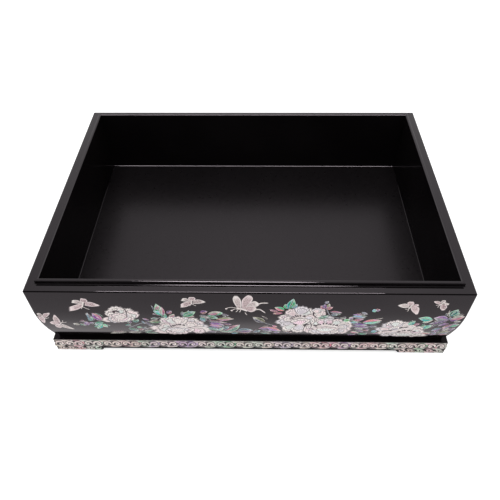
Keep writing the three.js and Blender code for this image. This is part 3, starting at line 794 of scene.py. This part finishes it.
# %% The butterflies of the front
# Two lines for each wing come first, then the body and the feelers.
front_butterflies = """
-135.5 75.5, -141 73.3, -147.5 70; -136 70.5, -141.5 66.3, -149 64; -134 72.5, -128.5 70.7, -121.2 72;
-132 77.5, -127 76.8, -121.2 72.6; -136.5 74, -140.5 75, -144 75.8; -134.8 77, -138 79.5, -142.5 79.5;
-135.5 76, -136 79.5, -134.6 82.3; -132 75.5, -130 78.5, -131 81.3
| -134 77, -135.4 73, -136.6 69.6; -136.6 70, -138 67.3; -135.5 70, -133 68, -131 66.8

-174 56, -171.5 60.5, -166 61.8; -172 54, -169 56.5, -165.8 61; -175 55, -178 54, -176.6 46;
-173 53, -173.5 48.5, -175.2 44.8; -174.5 55.5, -177 57.5, -177.3 60.5; -173 57, -174 60.6, -176 61.3;
-175 55.5, -177.4 56.6, -178.3 56; -174.6 54.4, -177 53.6, -178.2 54.5
| -174.8 57, -173.4 54.4, -172 52; -172 52.4, -170.4 53.6, -168.6 54.4

-166.5 47.5, -166 53, -163.1 59.2; -161.3 45.5, -160.8 52, -162.4 59.2; -164 39.6, -160 36, -153 32.8;
-160.8 44, -157.5 40.8, -152.6 33.6; -163.5 47.5, -168 48.5, -171 46; -163 43, -166.5 42, -170.2 43.6;
-164 43, -168 41, -167.2 37.2; -161.5 42, -162 38, -165 36
| -165 40.5, -162.6 43.6, -160.2 46.4; -160.2 46, -159 48, -158.4 50.2; -160 46, -158 46.4, -155.6 47.4

-46.2 75, -50.5 71.5, -55.6 70.3; -46.5 79, -51.5 77.8, -55 75; -45 75.8, -40 75.8, -34.4 77.7;
-44 80.5, -39.5 81.6, -34.2 78.6; -47.2 78, -51.5 78.8, -54.4 79.6; -46.4 80, -49.5 83, -52.6 83.1;
-47 79.5, -48 83, -46.4 84.8; -43.8 79.5, -42 82.2, -43.2 84.6
| -45.6 80.6, -45.8 77.6, -46 75; -46.2 75.6, -47 74, -48 72.8; -45.4 75.6, -44 74, -42.4 73

129.5 76, 125.5 78.2, 120.3 75.9; 129.8 72.8, 125 72.4, 120.3 75.2; 131 72.8, 133 68, 138 62.8;
133.5 74.8, 138.3 72.5, 139 63.4; 129 75.5, 127 78.8, 128.6 80.9; 131.8 75, 133 78.2, 131.4 80.9;
131 75.4, 134.3 77.4, 136.8 77; 131.5 73.3, 134.4 74, 137.4 74.8
| 131.6 76.4, 130.8 73.6, 129.8 71; 130 71.4, 128.6 70.6, 127 71; 130 71.2, 130 69, 129.4 67.4

154.5 80, 151 81.7, 147.6 81.5; 153.4 77.4, 150.8 78, 147.7 80.6; 154 77.4, 154.6 72.4, 157.3 69;
158 77.4, 160.2 73.6, 158.7 69.2; 154 79.5, 153.4 81.6, 154.5 83; 156.8 79, 157.2 81.4, 156.2 83;
156 80, 158.5 79.4, 160.8 78.2; 156.6 76.4, 158.6 76, 160.6 76.8
| 156.4 80.4, 155 78.4, 153.4 76.6; 153.6 77, 152 76.4, 150.4 76; 153.8 76.8, 153 75, 152.6 73
"""


def butterfly_design(drawing, design):
    wings, rest = map(lines, design.split("|"))
    butterfly(drawing, zip(wings[::2], wings[1::2]), rest[0], rest[1:])


inlay("front", "butterfly", motifs(front_butterflies), butterfly_design)

# %% [markdown]
# ## The large butterfly
# The one in the middle of the front is seen from the side. Its wings are raised, its hind wing ends in
# two streaming tails, and long feelers with round ends reach ahead of it.

# %% Draw the large butterfly
drawing = Drawing(7)
raised = lines("""
-8.4 69.3, -11.3 76, -12.5 82.5, -10.9 87; -6.2 69.3, -5.4 76.5, -6.2 82.5, -8.8 87;
-5.6 69, -5.6 76, -5 81.5, -1.6 86.5, 0.6 87.8; -2.5 69.5, 0.8 75, 3.2 79.5, 3.9 83.5, 2.2 87.4;
-3 71, 1.6 77.8, 5.6 79.9, 9.2 76.4; -2.5 70, 2.5 72.8, 6.2 72.2, 9.2 75; -5 70, 0 73.5, 5 73, 7 69.8;
-4.6 68.4, -0.6 66, 2.5 64.8, 6.2 67.2
""")
tails = lines("8.4 76, 11 77.3, 16.3 77.4; 5.4 68.4, 9.5 68.5, 14 63.7")
feelers = lines("-9.6 70.2, -13.5 71.2, -16.8 70.6, -18 69.3; -9.8 69.6, -12 68.4, -13.6 67")
legs = lines("-8.4 68.8, -9 66.8, -10.4 65; -6.4 68.4, -6.6 66.4, -7.6 64.6; -2.8 64.2, -2 62.4, -1.2 60.8")
for count, edges in enumerate(zip(raised[::2], raised[1::2])):
    tint = [white_pearl, rose_pearl][count % 2]
    drawing.plate(wing(*edges), tint, 7 - count, columns=7, rows=12, middle=0.5)
for tail in tails:
    drawing.plate(thread(tail, 1.5, 1.0), white_pearl, 2, rows=10)
for line in feelers + legs:
    drawing.plate(thread(line, 0.75, 0.6), white_pearl, 1, rows=8)
for feeler in feelers:
    x, z = feeler[-1]
    drawing.plate(blade(x + 1, z, 180, 2.2, 2.0, 1.0), white_pearl, 0, rows=5)
body = points("-10.6 70, -6 69.2, -3 67.8, -0.8 66")
drawing.plate(thread(body, 2.4, 1.6), white_pearl, 1, rows=10)
bed(drawing, "front", "front_butterfly_7", pearl, "pearl_shell")

# %% [markdown]
# ## Leaves
# Each leaf is two half blades with a hair of lacquer left between them as the midrib. A leaf is given by
# its root, its tip, its width and the tints of its halves, and the twig of a spray by a few points. Thin
# slivers, left over from the cutting, fill the ground between the leaves.

# %% Draw a spray of leaves
sliver_tints = "YYMLCSRT"
leaf_light, sliver_light = 1.35, 0.6
sliver_floor, sliver_ceiling = 29, 64


def spray(drawing, leaves, twig):
    dice, plate = drawing.dice, drawing.plate
    for count, (x0, z0, x1, z1, width, pair) in enumerate(leaves):
        length, angle = math.hypot(x1 - x0, z1 - z0), math.degrees(math.atan2(z1 - z0, x1 - x0))
        bend, middle = dice.uniform(-10, 10), dice.choice([0.0, 0.2, 0.5, 0.85])
        for side, letter in zip((-1, 1), pair):
            half = blade(x0, z0, angle, length, width, 0.85, bend, side)
            bright = [min(1.0, leaf_light * channel) for channel in tints[letter]]
            plate(half, bright, 4 + count % 4 + 0.3 * side, rows=7, middle=middle)
        for _ in range(2):
            aside, share = dice.uniform(-0.8, 0.8) * width, dice.uniform(0.1, 0.4)
            start = place_on(x0, z0, math.radians(angle), share * length, aside)
            lean, reach = angle + dice.uniform(-14, 14), length * dice.uniform(0.5, 0.8)
            sliver = blade(*start, lean, reach, dice.uniform(1.2, 2.0), 0.8, 16)
            if sliver_floor < start[1] < sliver_ceiling:
                dim = [sliver_light * channel for channel in tints[dice.choice(sliver_tints)]]
                plate(sliver, dim, 8 + count % 3, rows=5, middle=0.2)
    plate(thread(twig, 0.9, 0.6), tints["Y"], 10, rows=14)


# %% The sprays of the front, from left to right
# The leaves come first: x and z of the root and of the tip, the width and two tints. Then comes the twig.
front_sprays = """
-145.5 43 -151.2 44.4 3.8 CC, -145 45 -141 41.2 3.2 MC, -144.5 48.6 -139.5 48.8 2.4 YR,
-140.6 41.4 -137.8 48.2 4.4 LL, -133.8 51 -135.2 62.8 2.6 YS, -135.6 49.6 -131.8 56.4 4.4 MS,
-125 50.6 -130.6 62 6.6 RV, -124.6 49.6 -128.4 57 5.4 CC, -124 47.6 -133.4 43.4 4.8 TM,
-126.4 43.6 -131.6 34.6 4.6 MT, -127.2 44.4 -122 38.2 5.2 CM, -137 44.6 -133 47.6 2.2 YL,
-134 38.8 -129 40.4 3.2 GT
| -124 47.5, -131 46.8, -138 45.4, -145 43.4

-107 28.2 -124 25.2 4.2 CC, -118 27.4 -110 29.4 3.4 CR, -94.4 28 -107 27.2 4.2 CC,
-105.2 36.6 -96.2 31.4 4.4 MG, -96.6 35.6 -92 33.4 4.4 RR, -97 38.6 -92.8 39.2 3 MM,
-106.5 41.6 -101.2 43.8 2.4 YT, -100.6 45 -102.6 51.8 2.2 VC, -100.4 52.4 -98.2 54 2.4 RR,
-98.8 48.4 -92.6 51.8 4.2 TM, -84 51.2 -89.8 54.6 2.4 RL, -90.8 50.4 -88.8 45.2 2 SS,
-88.6 47.6 -82.4 41 2.6 YV, -74.5 49.6 -84.6 48.2 4.2 OG, -76 55 -83 54.6 1.8 YM,
-72.6 59 -75.4 75.6 7.4 MG, -72 59 -71 71.4 4.6 RC, -77 67 -72.4 72.4 3 RR, -70.6 60.4 -79.2 65.2 5 ST,
-73 60.6 -69.2 55 3.2 TT, -69.4 54.6 -69.8 62.4 2.6 TM, -68 62 -63.2 65.4 4.4 RL,
-66.6 57 -61.2 60.6 3.6 RC, -100 34 -86 36 3.2 YY, -84 33 -92 30.2 3 CM, -92 27 -80 26 3.4 CM
| -104 38, -98 42, -92 46, -84 49.5, -74 56

-54.6 57.4 -44.2 65.8 7.4 GM, -53 56.4 -45.2 58.6 3.2 RO, -55.8 59.4 -53.2 64 3.2 SY,
-40.2 63.6 -33.8 65.2 4.8 RV, -33.8 61.4 -22.8 64.8 5 RC, -27 63 -21 63 4.4 GM, -23 64 -18.6 57.4 2.2 YY,
-41.2 58.8 -32.6 57 4.2 CY, -34.6 59.8 -25 55.2 4.8 GM, -27.4 54 -12.6 54.4 4.8 RO, -22.6 57 -14.6 57 2 YO,
-40.4 56.6 -36.4 49.8 4.2 ST, -34.8 51.2 -19.4 48.8 3.2 YR, -33.6 47.6 -21 43.8 4.8 LV,
-21.8 46.2 -14.4 45.4 2.2 RV, -34.2 43.6 -21.8 41 4.2 LR, -35.2 39 -25.6 34.2 5.2 MS,
-26.6 32.8 -21.4 38.8 3.2 CM, -23 35.4 -17.2 41.8 5.2 SS, -21.2 30.8 -7 44.8 9 MR, -26 32 -13.6 29.2 3.2 CM,
-16 27.4 -9.2 27.6 2.6 ST, -9.6 33 3.6 35.2 9 LS, -9 30 1.4 28.8 3.2 RY, -36 31 -28 29.6 2.6 YL
| -40 60, -33 54, -30 44, -26 35, -14 31, 0 31

14 48.8 3.2 57.8 7.2 OY, 4.8 30.2 9.8 34.6 4.2 SS, 8.2 38 19.8 40.6 4.2 LR, 10.6 35.6 20.4 32.2 4.2 YL,
9.2 28.6 19.4 27.8 3 MY, 15.2 40.2 28.4 33.2 6.4 LR, 20.2 43.8 24.4 40.8 3 RR, 29.6 67.4 21.4 72.2 5.4 GR,
24.6 65.4 17 68 3.2 RR, 28.2 64 20 62.8 2.8 RR, 33 69.6 36.8 83.4 6.8 GT, 31.6 69.8 30.4 76.4 5.2 TG,
36 70.4 39.8 76.4 4.2 SM, 21 31 27 29.6 3.4 LY, 3.6 32.6 7 29 2.2 YY, 29 35.4 35 32 3 CR,
30.6 31.2 38 30.2 2.6 YR
| 13.6 48.8, 16 46.9, 19.6 45, 24 42

62 77.2 64.4 80.6 3.2 YY, 63.2 70 58.8 74.8 5.2 VR, 63.8 69.4 68.6 73 3.8 RR, 63.6 70 66 77.4 3.2 CO,
62.4 70.4 61.6 76.6 3.4 VL, 67 66 77 64.4 3.8 YR, 68 62.6 73.8 62 3.2 SY, 76.4 58 81.2 56.4 2.6 CC,
79.4 52.8 85.2 55.2 4.2 GM, 83.4 56.4 87.2 59 3.2 LC, 86 60 97.2 57.4 3.8 YS, 92.8 66 98.2 62.8 2.8 YY,
86 62.4 94 61.4 2.4 YL, 87.4 53.8 96.6 55.6 3.4 RR, 85.4 51 92.4 50.4 3.2 SM, 95.8 50.4 111.8 53.6 7.4 MR,
101 67.4 105 69.2 4.2 MS, 103.4 68.4 107.4 69.8 4 LR, 88 47.2 101.2 46 4.2 YV, 88 43.4 103.4 41.6 4.2 YV,
90 39.6 98.4 38 3.2 YC, 98 37 103.4 35.4 2.8 RR, 105.8 32.8 111.2 35.2 5.2 TS, 88 33.6 95.8 30.4 3.8 RC,
95 28.6 103.8 28 3.2 MG, 106.8 29.4 116 31 2.8 LR, 92 35.6 100 33 2.8 YL, 57.8 56.4 66.4 60.2 4 GM,
86 27 94 26.4 2.4 VY, 101 43.6 109 44.2 2.6 YL
| 64 70, 65.4 65.4, 68.4 60, 76 57, 86 54, 95 50

134.8 47 139.9 53.8 4.8 TM, 139 47 144.2 48.8 4.2 RR, 153 55.8 140.6 58 7 MT, 145.8 51 153.4 56.2 4.2 CM,
149.4 40.4 154.2 47.8 5.2 MT, 145.8 43.4 150.2 46.4 3.6 CG, 165.6 56.4 153.2 58.8 8.4 LY,
166 56 156.8 51.4 4.8 VL, 163.2 55 151.6 48.4 4.2 YV, 166 61.4 169.7 71 6.4 TM, 167.6 61 172.8 66.2 4.2 MG,
165.6 60.4 164.4 67 4.2 GC, 168.4 57 178 61.6 6.6 RC, 167 55.4 174.4 56.6 4.2 VR,
171.4 52.4 176.6 54 3.2 YC, 169.4 45 177.4 49.6 5.2 GY, 172 48.2 164.2 41.4 4.2 RL,
170.6 43 166 36.8 3.8 YC, 164.2 42 156.8 35.8 5.2 SL, 158 33.4 163 31 3.6 SL, 149.6 31.6 158.4 31.2 3 RC,
163.6 31 174 35.6 4.2 YO, 165 28.4 173.2 29.6 3 RY, 168 50.4 160 46.2 3.4 LV, 156 28.2 163.6 28 2.6 YL,
170 38.4 176 42.6 3.4 LY, 165.4 56.4 168.6 58.6 2.4 SL
| 148 36, 153 42, 160 49, 166 56, 167 61
"""


def spray_design(drawing, design):
    leaves, twig = design.split("|")
    rows = [row.split() for row in leaves.split(",")]
    spray(drawing, [(*map(float, numbers), pair) for *numbers, pair in rows], points(twig))


inlay("front", "leaf_spray", motifs(front_sprays), spray_design)

# %% [markdown]
# ## The other three faces
# They are decorated in the same manner, with fewer motifs. The petals of a bloom are fanned out round its
# heart, the leaves of a garland stand to both sides of a waving twig, and the butterflies are all cut
# from one pattern.

# %% Draw blooms
def open_bloom(drawing, x, z, width, height):
    petals = []
    for share, count, start in ((1.0, 9, 0), (0.8, 8, 22)):
        for step in range(count):
            angle = start + 360 * step / count + drawing.dice.uniform(-5, 5)
            turn = math.radians(angle)
            reach = share / math.hypot(math.cos(turn) / (width / 2), math.sin(turn) / (height / 2))
            petals.append((x, z, angle, reach, 15.0 * share))
    petals += [(x + 0.14 * side * width, z, 90 - 38 * side, height * 0.34, 9) for side in (-1, 1)]
    petals.append((x, z - height * 0.26, 90, height * 0.25, width * 0.46))
    row = [(x + width * 0.16 * side, z + 2 - 2.5 * abs(side)) for side in (-1, 0, 1)]
    peony(drawing, petals, row, 9, end=full_round)


def bloom_design(drawing, heads):
    for head in heads:
        open_bloom(drawing, *head)


# %% Draw garlands
def garland(drawing, design):
    start, end, height, count = design
    dice = drawing.dice
    letters = list(tints)
    heading = 1 if end > start else -1
    twig, leaves = [], []
    for step in range(count + 1):
        x = start + (end - start) * step / count
        z = height + 4 * math.sin(step * 1.3)
        twig.append((x, z))
        leans = [dice.uniform(low, high) for low, high in ((30, 60), (-50, -26), (-10, 12))]
        for lean in leans:
            turn = math.radians(lean)
            length = dice.uniform(7, 12)
            tip = (x + heading * length * math.cos(turn), z + length * math.sin(turn))
            pair = dice.choice(letters) + dice.choice(letters)
            leaves.append((x, z, *tip, dice.uniform(3.4, 5.6), pair))
    spray(drawing, leaves, twig)


# %% Draw plain butterflies
# The pattern gives one side of the butterfly as ahead and aside of its middle: fore wing, then hind wing.
pattern = lines("""
0.22 0.04, 0.62 0.5, 0.6 1.05; -0.1 0.04, -0.06 0.5, 0.36 1.08;
0 0.04, -0.08 0.52, -0.36 0.8; -0.3 0, -0.66 0.2, -0.68 0.6
""")
body_line, feeler_line = lines("-0.36 0, 0 0, 0.32 0; 0.3 0, 0.5 0.1, 0.72 0.24")


def plain_butterfly(drawing, design):
    x, z, head, size = design
    turn = math.radians(head)

    def placed(line, side):
        return [place_on(x, z, turn, size * ahead, size * aside * side) for ahead, aside in line]

    wings = []
    for side in (-1, 1):
        edges = [placed(line, side) for line in pattern]
        wings += [edges[:2], edges[2:]]
    butterfly(drawing, wings, placed(body_line, 1), [placed(feeler_line, side) for side in (-1, 1)])


# %% Draw the sides and the back
# A butterfly is x, z, the way it heads and its size, a bloom x, z, width and height, and a garland its
# start, its end, its height and the number of its bends.
narrow_side = (
    [(-66, 74, -60, 13), (58, 77, -125, 9.5)],
    [[(19, 41, 42, 31), (-10, 50, 46, 38)]],
    [(-36, -98, 41, 6), (42, 104, 41, 6)],
)
back_side = (
    [(-8, 75, -70, 14), (142, 74, -130, 10)],
    [[(-76, 43, 54, 35)], [(80, 45, 58, 38)]],
    [(-106, -162, 41, 5), (-38, 36, 40, 8), (112, 164, 41, 5)],
)
for count, (flies, blooms, garlands) in enumerate((narrow_side, back_side, narrow_side), 1):
    side, seed = sides[count], 100 * count
    inlay(side, "butterfly", flies, plain_butterfly, seed)
    inlay(side, "peony", blooms, bloom_design, seed)
    inlay(side, "leaf_spray", garlands, garland, seed)

# %% [markdown]
# ## The vine scroll
# The plinth is covered by a running scroll: curl after curl, turned up and down by turns, with commas of
# shell filling the corners between them. One curl is a plate bent round into a tapering spiral, and ends
# in a round eye.

# %% Shapes and tints of the scroll
def curl(x, z, radius, start, sweep, width):
    """A C of shell: it starts wide at the angle start, winds by sweep degrees and ends thin and tight."""

    def shape(across, along):
        half = width / 2 * (1 - 0.45 * along) * min(1.0, 0.3 + 4 * along)
        reach = radius * (1 - 0.60 * along) + half * across
        return place_on(x, z, math.radians(start + sweep * along), reach, 0)

    return shape


drift = "CCRMCCRGLCVLCMGCMCLYCRRVCRCMRGRM"


def drifted(share, dice, least, level=1.0):
    """The tint of the scroll along a rail, paled at least so much; neighbours run into each other."""
    reach = min(max(share, 0.0), 0.999) * (len(drift) - 1)
    first = int(reach)
    part = reach - first
    pale = least + dice.uniform(0.0, 0.42)
    here = [a * (1 - part) + b * part for a, b in zip(tints[drift[first]], tints[drift[first + 1]])]
    return [level * (channel * (1 - pale) + light * pale) for channel, light in zip(here, white_pearl)]


# %% Lay the scroll on the four rails
wanted_pitch, end_margin, foot_margin = 8.6, 0.8, 4
middle_height, border_height, ground_heights = 10.7, 15.5, (8.0, 13.2)
curl_width, outline_width, ground_width, border_width = 2.3, 3.7, 3.4, 1.7
eye_length, eye_width, comma_length, comma_width = 2.2, 2.0, 3.3, 2.0


def scroll_step(drawing, x, share, pitch, up):
    """One curl on its dark outline, with its eye, the dim ground, the border, a link and two commas."""
    dice, plate = drawing.dice, drawing.plate
    down = up < 0
    sunk = 1.2 * down
    middle, radius = middle_height + dice.uniform(-0.2, 0.2), dice.uniform(3.4, 3.9)
    bent = 90 + 110 * up, -dice.uniform(300, 350) * up
    own = drifted(share, dice, dice.choice([0.3, 0.55, 0.58]))
    plate(curl(x, middle, radius, *bent, curl_width), own, 1 + sunk, rows=14)
    plate(curl(x, middle, radius, *bent, outline_width), dark_cut, 1.6 + sunk, rows=14, middle=1.0)
    eye = blade(x - eye_length / 2, middle, 0, eye_length, eye_width, 1.0)
    plate(eye, drifted(share, dice, 0.6), 0, rows=4)
    for height in ground_heights:
        root = (x - pitch * 0.6, height + dice.uniform(-0.4, 0.4))
        ground = blade(*root, dice.uniform(-5, 5), pitch * 1.2, ground_width, 1.0, 20 * up)
        plate(ground, drifted(share, dice, 0.0, 0.28), 8 + dice.random(), rows=5, middle=0.5)
    border = [(x + pitch * end, border_height) for end in (-0.5, 0.5)]
    plate(thread(border, border_width, border_width), drifted(share, dice, 0.0, 0.34), 7, rows=2, middle=1.0)
    bends = ((-0.66, 3.8), (-0.2, 4.3), (0.42, 3.3))
    link = [(x + pitch * spot, middle - drop * up) for spot, drop in bends]
    plate(thread(link, 1.9, 0.8), drifted(share, dice, 0.3), 4, rows=6)
    for spot, lean in ((0.44, 60), (0.40, -35)):
        root = (x + pitch * spot, middle + 0.6 * up + dice.uniform(-0.9, 0.9))
        comma = blade(*root, lean * up + dice.uniform(-20, 20), comma_length, comma_width, 0.7, 30 * up)
        plate(comma, drifted(share, dice, 0.0), 5 + down, rows=5)


def foot_step(drawing, x, share):
    """Two small curls and two blades, which fill a foot below the running scroll."""
    dice, plate = drawing.dice, drawing.plate
    plate(curl(x - 2.2, 3.1, 1.9, 180, 320, 1.5), drifted(share, dice, 0.5), 1, rows=12)
    plate(curl(x + 2.2, 3.3, 1.9, 0, -320, 1.5), drifted(share, dice, 0.2), 2, rows=12)
    plate(blade(x - 4.4, 0.9, 6, 8.6, 1.3, 0.8, 16), drifted(share, dice, 0.1), 3, rows=5)
    plate(blade(x - 3.8, 5.4, -4, 7.6, 1.3, 0.8, -16), drifted(share, dice, 0.1), 3, rows=5)


def scroll(side, seed):
    drawing = Drawing(seed)
    half = spans[side][0] / mm
    reach = half - plinth_inset / mm - end_margin
    count = round(2 * reach / wanted_pitch)
    pitch = 2 * reach / count
    foot_start = half - (plinth_inset + foot_length) / mm
    for step in range(count):
        x = -reach + pitch * (step + 0.5)
        share = (x + reach) / (2 * reach)
        scroll_step(drawing, x, share, pitch, 1 - 2 * (step % 2))
        if abs(x) > foot_start + foot_margin:
            foot_step(drawing, x, share)
    for sign in (-1, 1):
        lobe = curl(sign * (foot_start + 2.8), 4.0, 2.7, 90 + 90 * sign, 320 * sign, 2.0)
        drawing.plate(lobe, drifted(0.5 + 0.4 * sign, drawing.dice, 0.4), 0.5, rows=12)
    bed(drawing, side, f"{side}_vine_scroll", vine_shell, "abalone_shell", inset=plinth_inset)


for count, side in enumerate(sides):
    scroll(side, 500 + count)

# %% [markdown]
# ## Floor, light and camera
# The box stands on a white sheet. The world is a white studio, which polished faces mirror brightest in
# the middle, and one soft lamp hangs overhead. Two cards are there for the reflections only, as a
# photographer of polished things would set them: a black cloth curves up behind the camera and draws the
# dark line along the rounded rim, and a bright panel overhead draws the thin light lines along the lip.

# %% Helpers for the cards of the studio
full_white = (1.0, 1.0, 1.0, 1.0)


def flat(size):
    bm = bmesh.new()
    bmesh.ops.create_grid(bm, x_segments=1, y_segments=1, size=size)
    return bm


def make_card(bm, name, grey, glow):
    card = put(name, bm)
    graph = new_material(name, {
        "Roughness": 0.9, "Base Color": (grey, grey, grey, 1.0), "Specular IOR Level": 0.1,
        "Emission Color": full_white, "Emission Strength": glow,
    })
    card.data.materials.append(graph.owner)
    return card, graph


def only_in_reflections(card):
    card.visible_camera = card.visible_diffuse = card.visible_shadow = card.visible_transmission = False


# %% Lay the white sheet
# The places of the ramp are decimetres beyond the plinth.
camera_glow, mirrored_glow, decimetres = 0.62, 1.25, 10.0
sheet, graph = make_card(flat(4.0), "white_sheet", 0.72, 0.0)
sheet.location.z = -0.00005
rays, seen = graph.rays()
graph.shade({"Emission Strength": graph.number("MULTIPLY", seen, camera_glow)})
# in the polished faces the sheet shows a painted shadow against the plinth, a painted pool of light just
# before it, and is paler far out
x, y, _ = graph.split(graph.object_place())
outward = [
    graph.number("SUBTRACT", graph.number("ABSOLUTE", axis), half - plinth_inset)
    for axis, half in ((x, half_length), (y, half_depth))
]
beyond = graph.number("MULTIPLY", graph.number("MAXIMUM", *outward), decimetres)
# dim is the painted shadow at the plinth, bright the painted pool of light, and middling and pale its falling
# off
dim, bright, middling, pale = (0.3, 0.3, 0.3), (0.82, 0.79, 0.80), (0.60, 0.58, 0.59), (0.48, 0.46, 0.47)
painted_shadow_and_light = [(0.0, dim), (0.04, bright), (0.17, bright), (0.28, middling), (0.62, pale)]
mirrored = graph.add("Emission", {"Color": graph.ramp(beyond, painted_shadow_and_light), "Strength": mirrored_glow}).outputs[0]
plain = graph.tree.nodes["Principled BSDF"].outputs[0]
either = graph.add("MixShader", {0: rays["Is Glossy Ray"], 1: plain, 2: mirrored}).outputs[0]
graph.fill(graph.tree.nodes["Material Output"].inputs["Surface"], either)

# %% Light the box
world_light, white = 0.98, 1.0
middle_light, side_light = 1.24, 0.76
world = bpy.data.worlds.new("studio")
scene.world = world
graph = Graph(world)
rays, seen = graph.rays()
# the polished faces mirror a studio that is brightest in the middle and falls off to both sides
aside = graph.number("ABSOLUTE", graph.split(graph.add("TexCoord", {}).outputs["Generated"])["X"])
falling = graph.number("SUBTRACT", graph.mapped(aside, 0.04, 0.44, middle_light, side_light), world_light)
graded = graph.number("MULTIPLY", rays["Is Glossy Ray"], falling)
level = graph.number("ADD", graph.mapped(seen, 0.0, 1.0, world_light, white), graded)
sky = graph.tree.nodes["Background"].inputs
sky["Color"].default_value = full_white
graph.fill(sky["Strength"], level)
lamp_data = bpy.data.lights.new("overhead_lamp", "AREA")
lamp_data.shape = "RECTANGLE"
lamp_data.size, lamp_data.size_y = 0.9, 0.5
lamp_data.energy = 3.0
lamp = put("overhead_lamp", lamp_data)
lamp.location = (-0.1, -0.15, 1.3)
print("lamp energy", lamp_data.energy)

# %% Hang the black cloth and the bright panel
# The cloth stands upright up to the bend, and is swung over the box from there.
cloth_half_width, cloth_distance, cloth_foot, bend_height, swing = 1.6, 1.4, 0.02, 0.7, math.radians(61)
bm = flat(cloth_half_width)
bmesh.ops.rotate(bm, verts=bm.verts, cent=(0, 0, 0), matrix=Matrix.Rotation(math.pi / 2, 3, "X"))
bmesh.ops.translate(bm, verts=bm.verts, vec=(0.0, -cloth_distance, cloth_foot + cloth_half_width))
top = [edge for edge in bm.edges if all(vert.co.z > bend_height for vert in edge.verts)]
for vert in {vert for edge in top for vert in edge.verts}:
    vert.co.z = bend_height
bmesh.ops.spin(bm, geom=top, cent=(0.0, -0.2, 0.3), axis=(1, 0, 0), angle=-swing, steps=12)
cloth = make_card(bm, "black_cloth", 0.006, 0.0)[0]
only_in_reflections(cloth)

bm = flat(0.5)
bmesh.ops.scale(bm, verts=bm.verts, vec=(0.87, 0.5, 1.0))
bmesh.ops.translate(bm, verts=bm.verts, vec=(-0.053, -0.12, 1.22))
panel = make_card(bm, "bright_panel", 0.8, 28.0)[0]
only_in_reflections(panel)
print("cards hung:", cloth.name, panel.name)

# %% Set the camera
# Its place was found by matching the corners of the rim, the lip, the floor and the feet.
camera_data = bpy.data.cameras.new("camera")
camera_data.sensor_width = 36.0
camera_data.lens = 37.008
camera_data.clip_start = 0.01
camera = put("camera", camera_data)
stand, yaw, pitch, roll = (0.00914507, -0.37809588, 0.41069292), -0.02829, 0.82594, -0.01526
pose = Matrix.Translation(stand)
for angle, axis in ((-yaw, "Z"), (math.pi / 2 - pitch, "X"), (roll, "Z")):
    pose = pose @ Matrix.Rotation(angle, 4, axis)
camera.matrix_world = pose
scene.camera = camera
scene.view_settings.view_transform = "Standard"
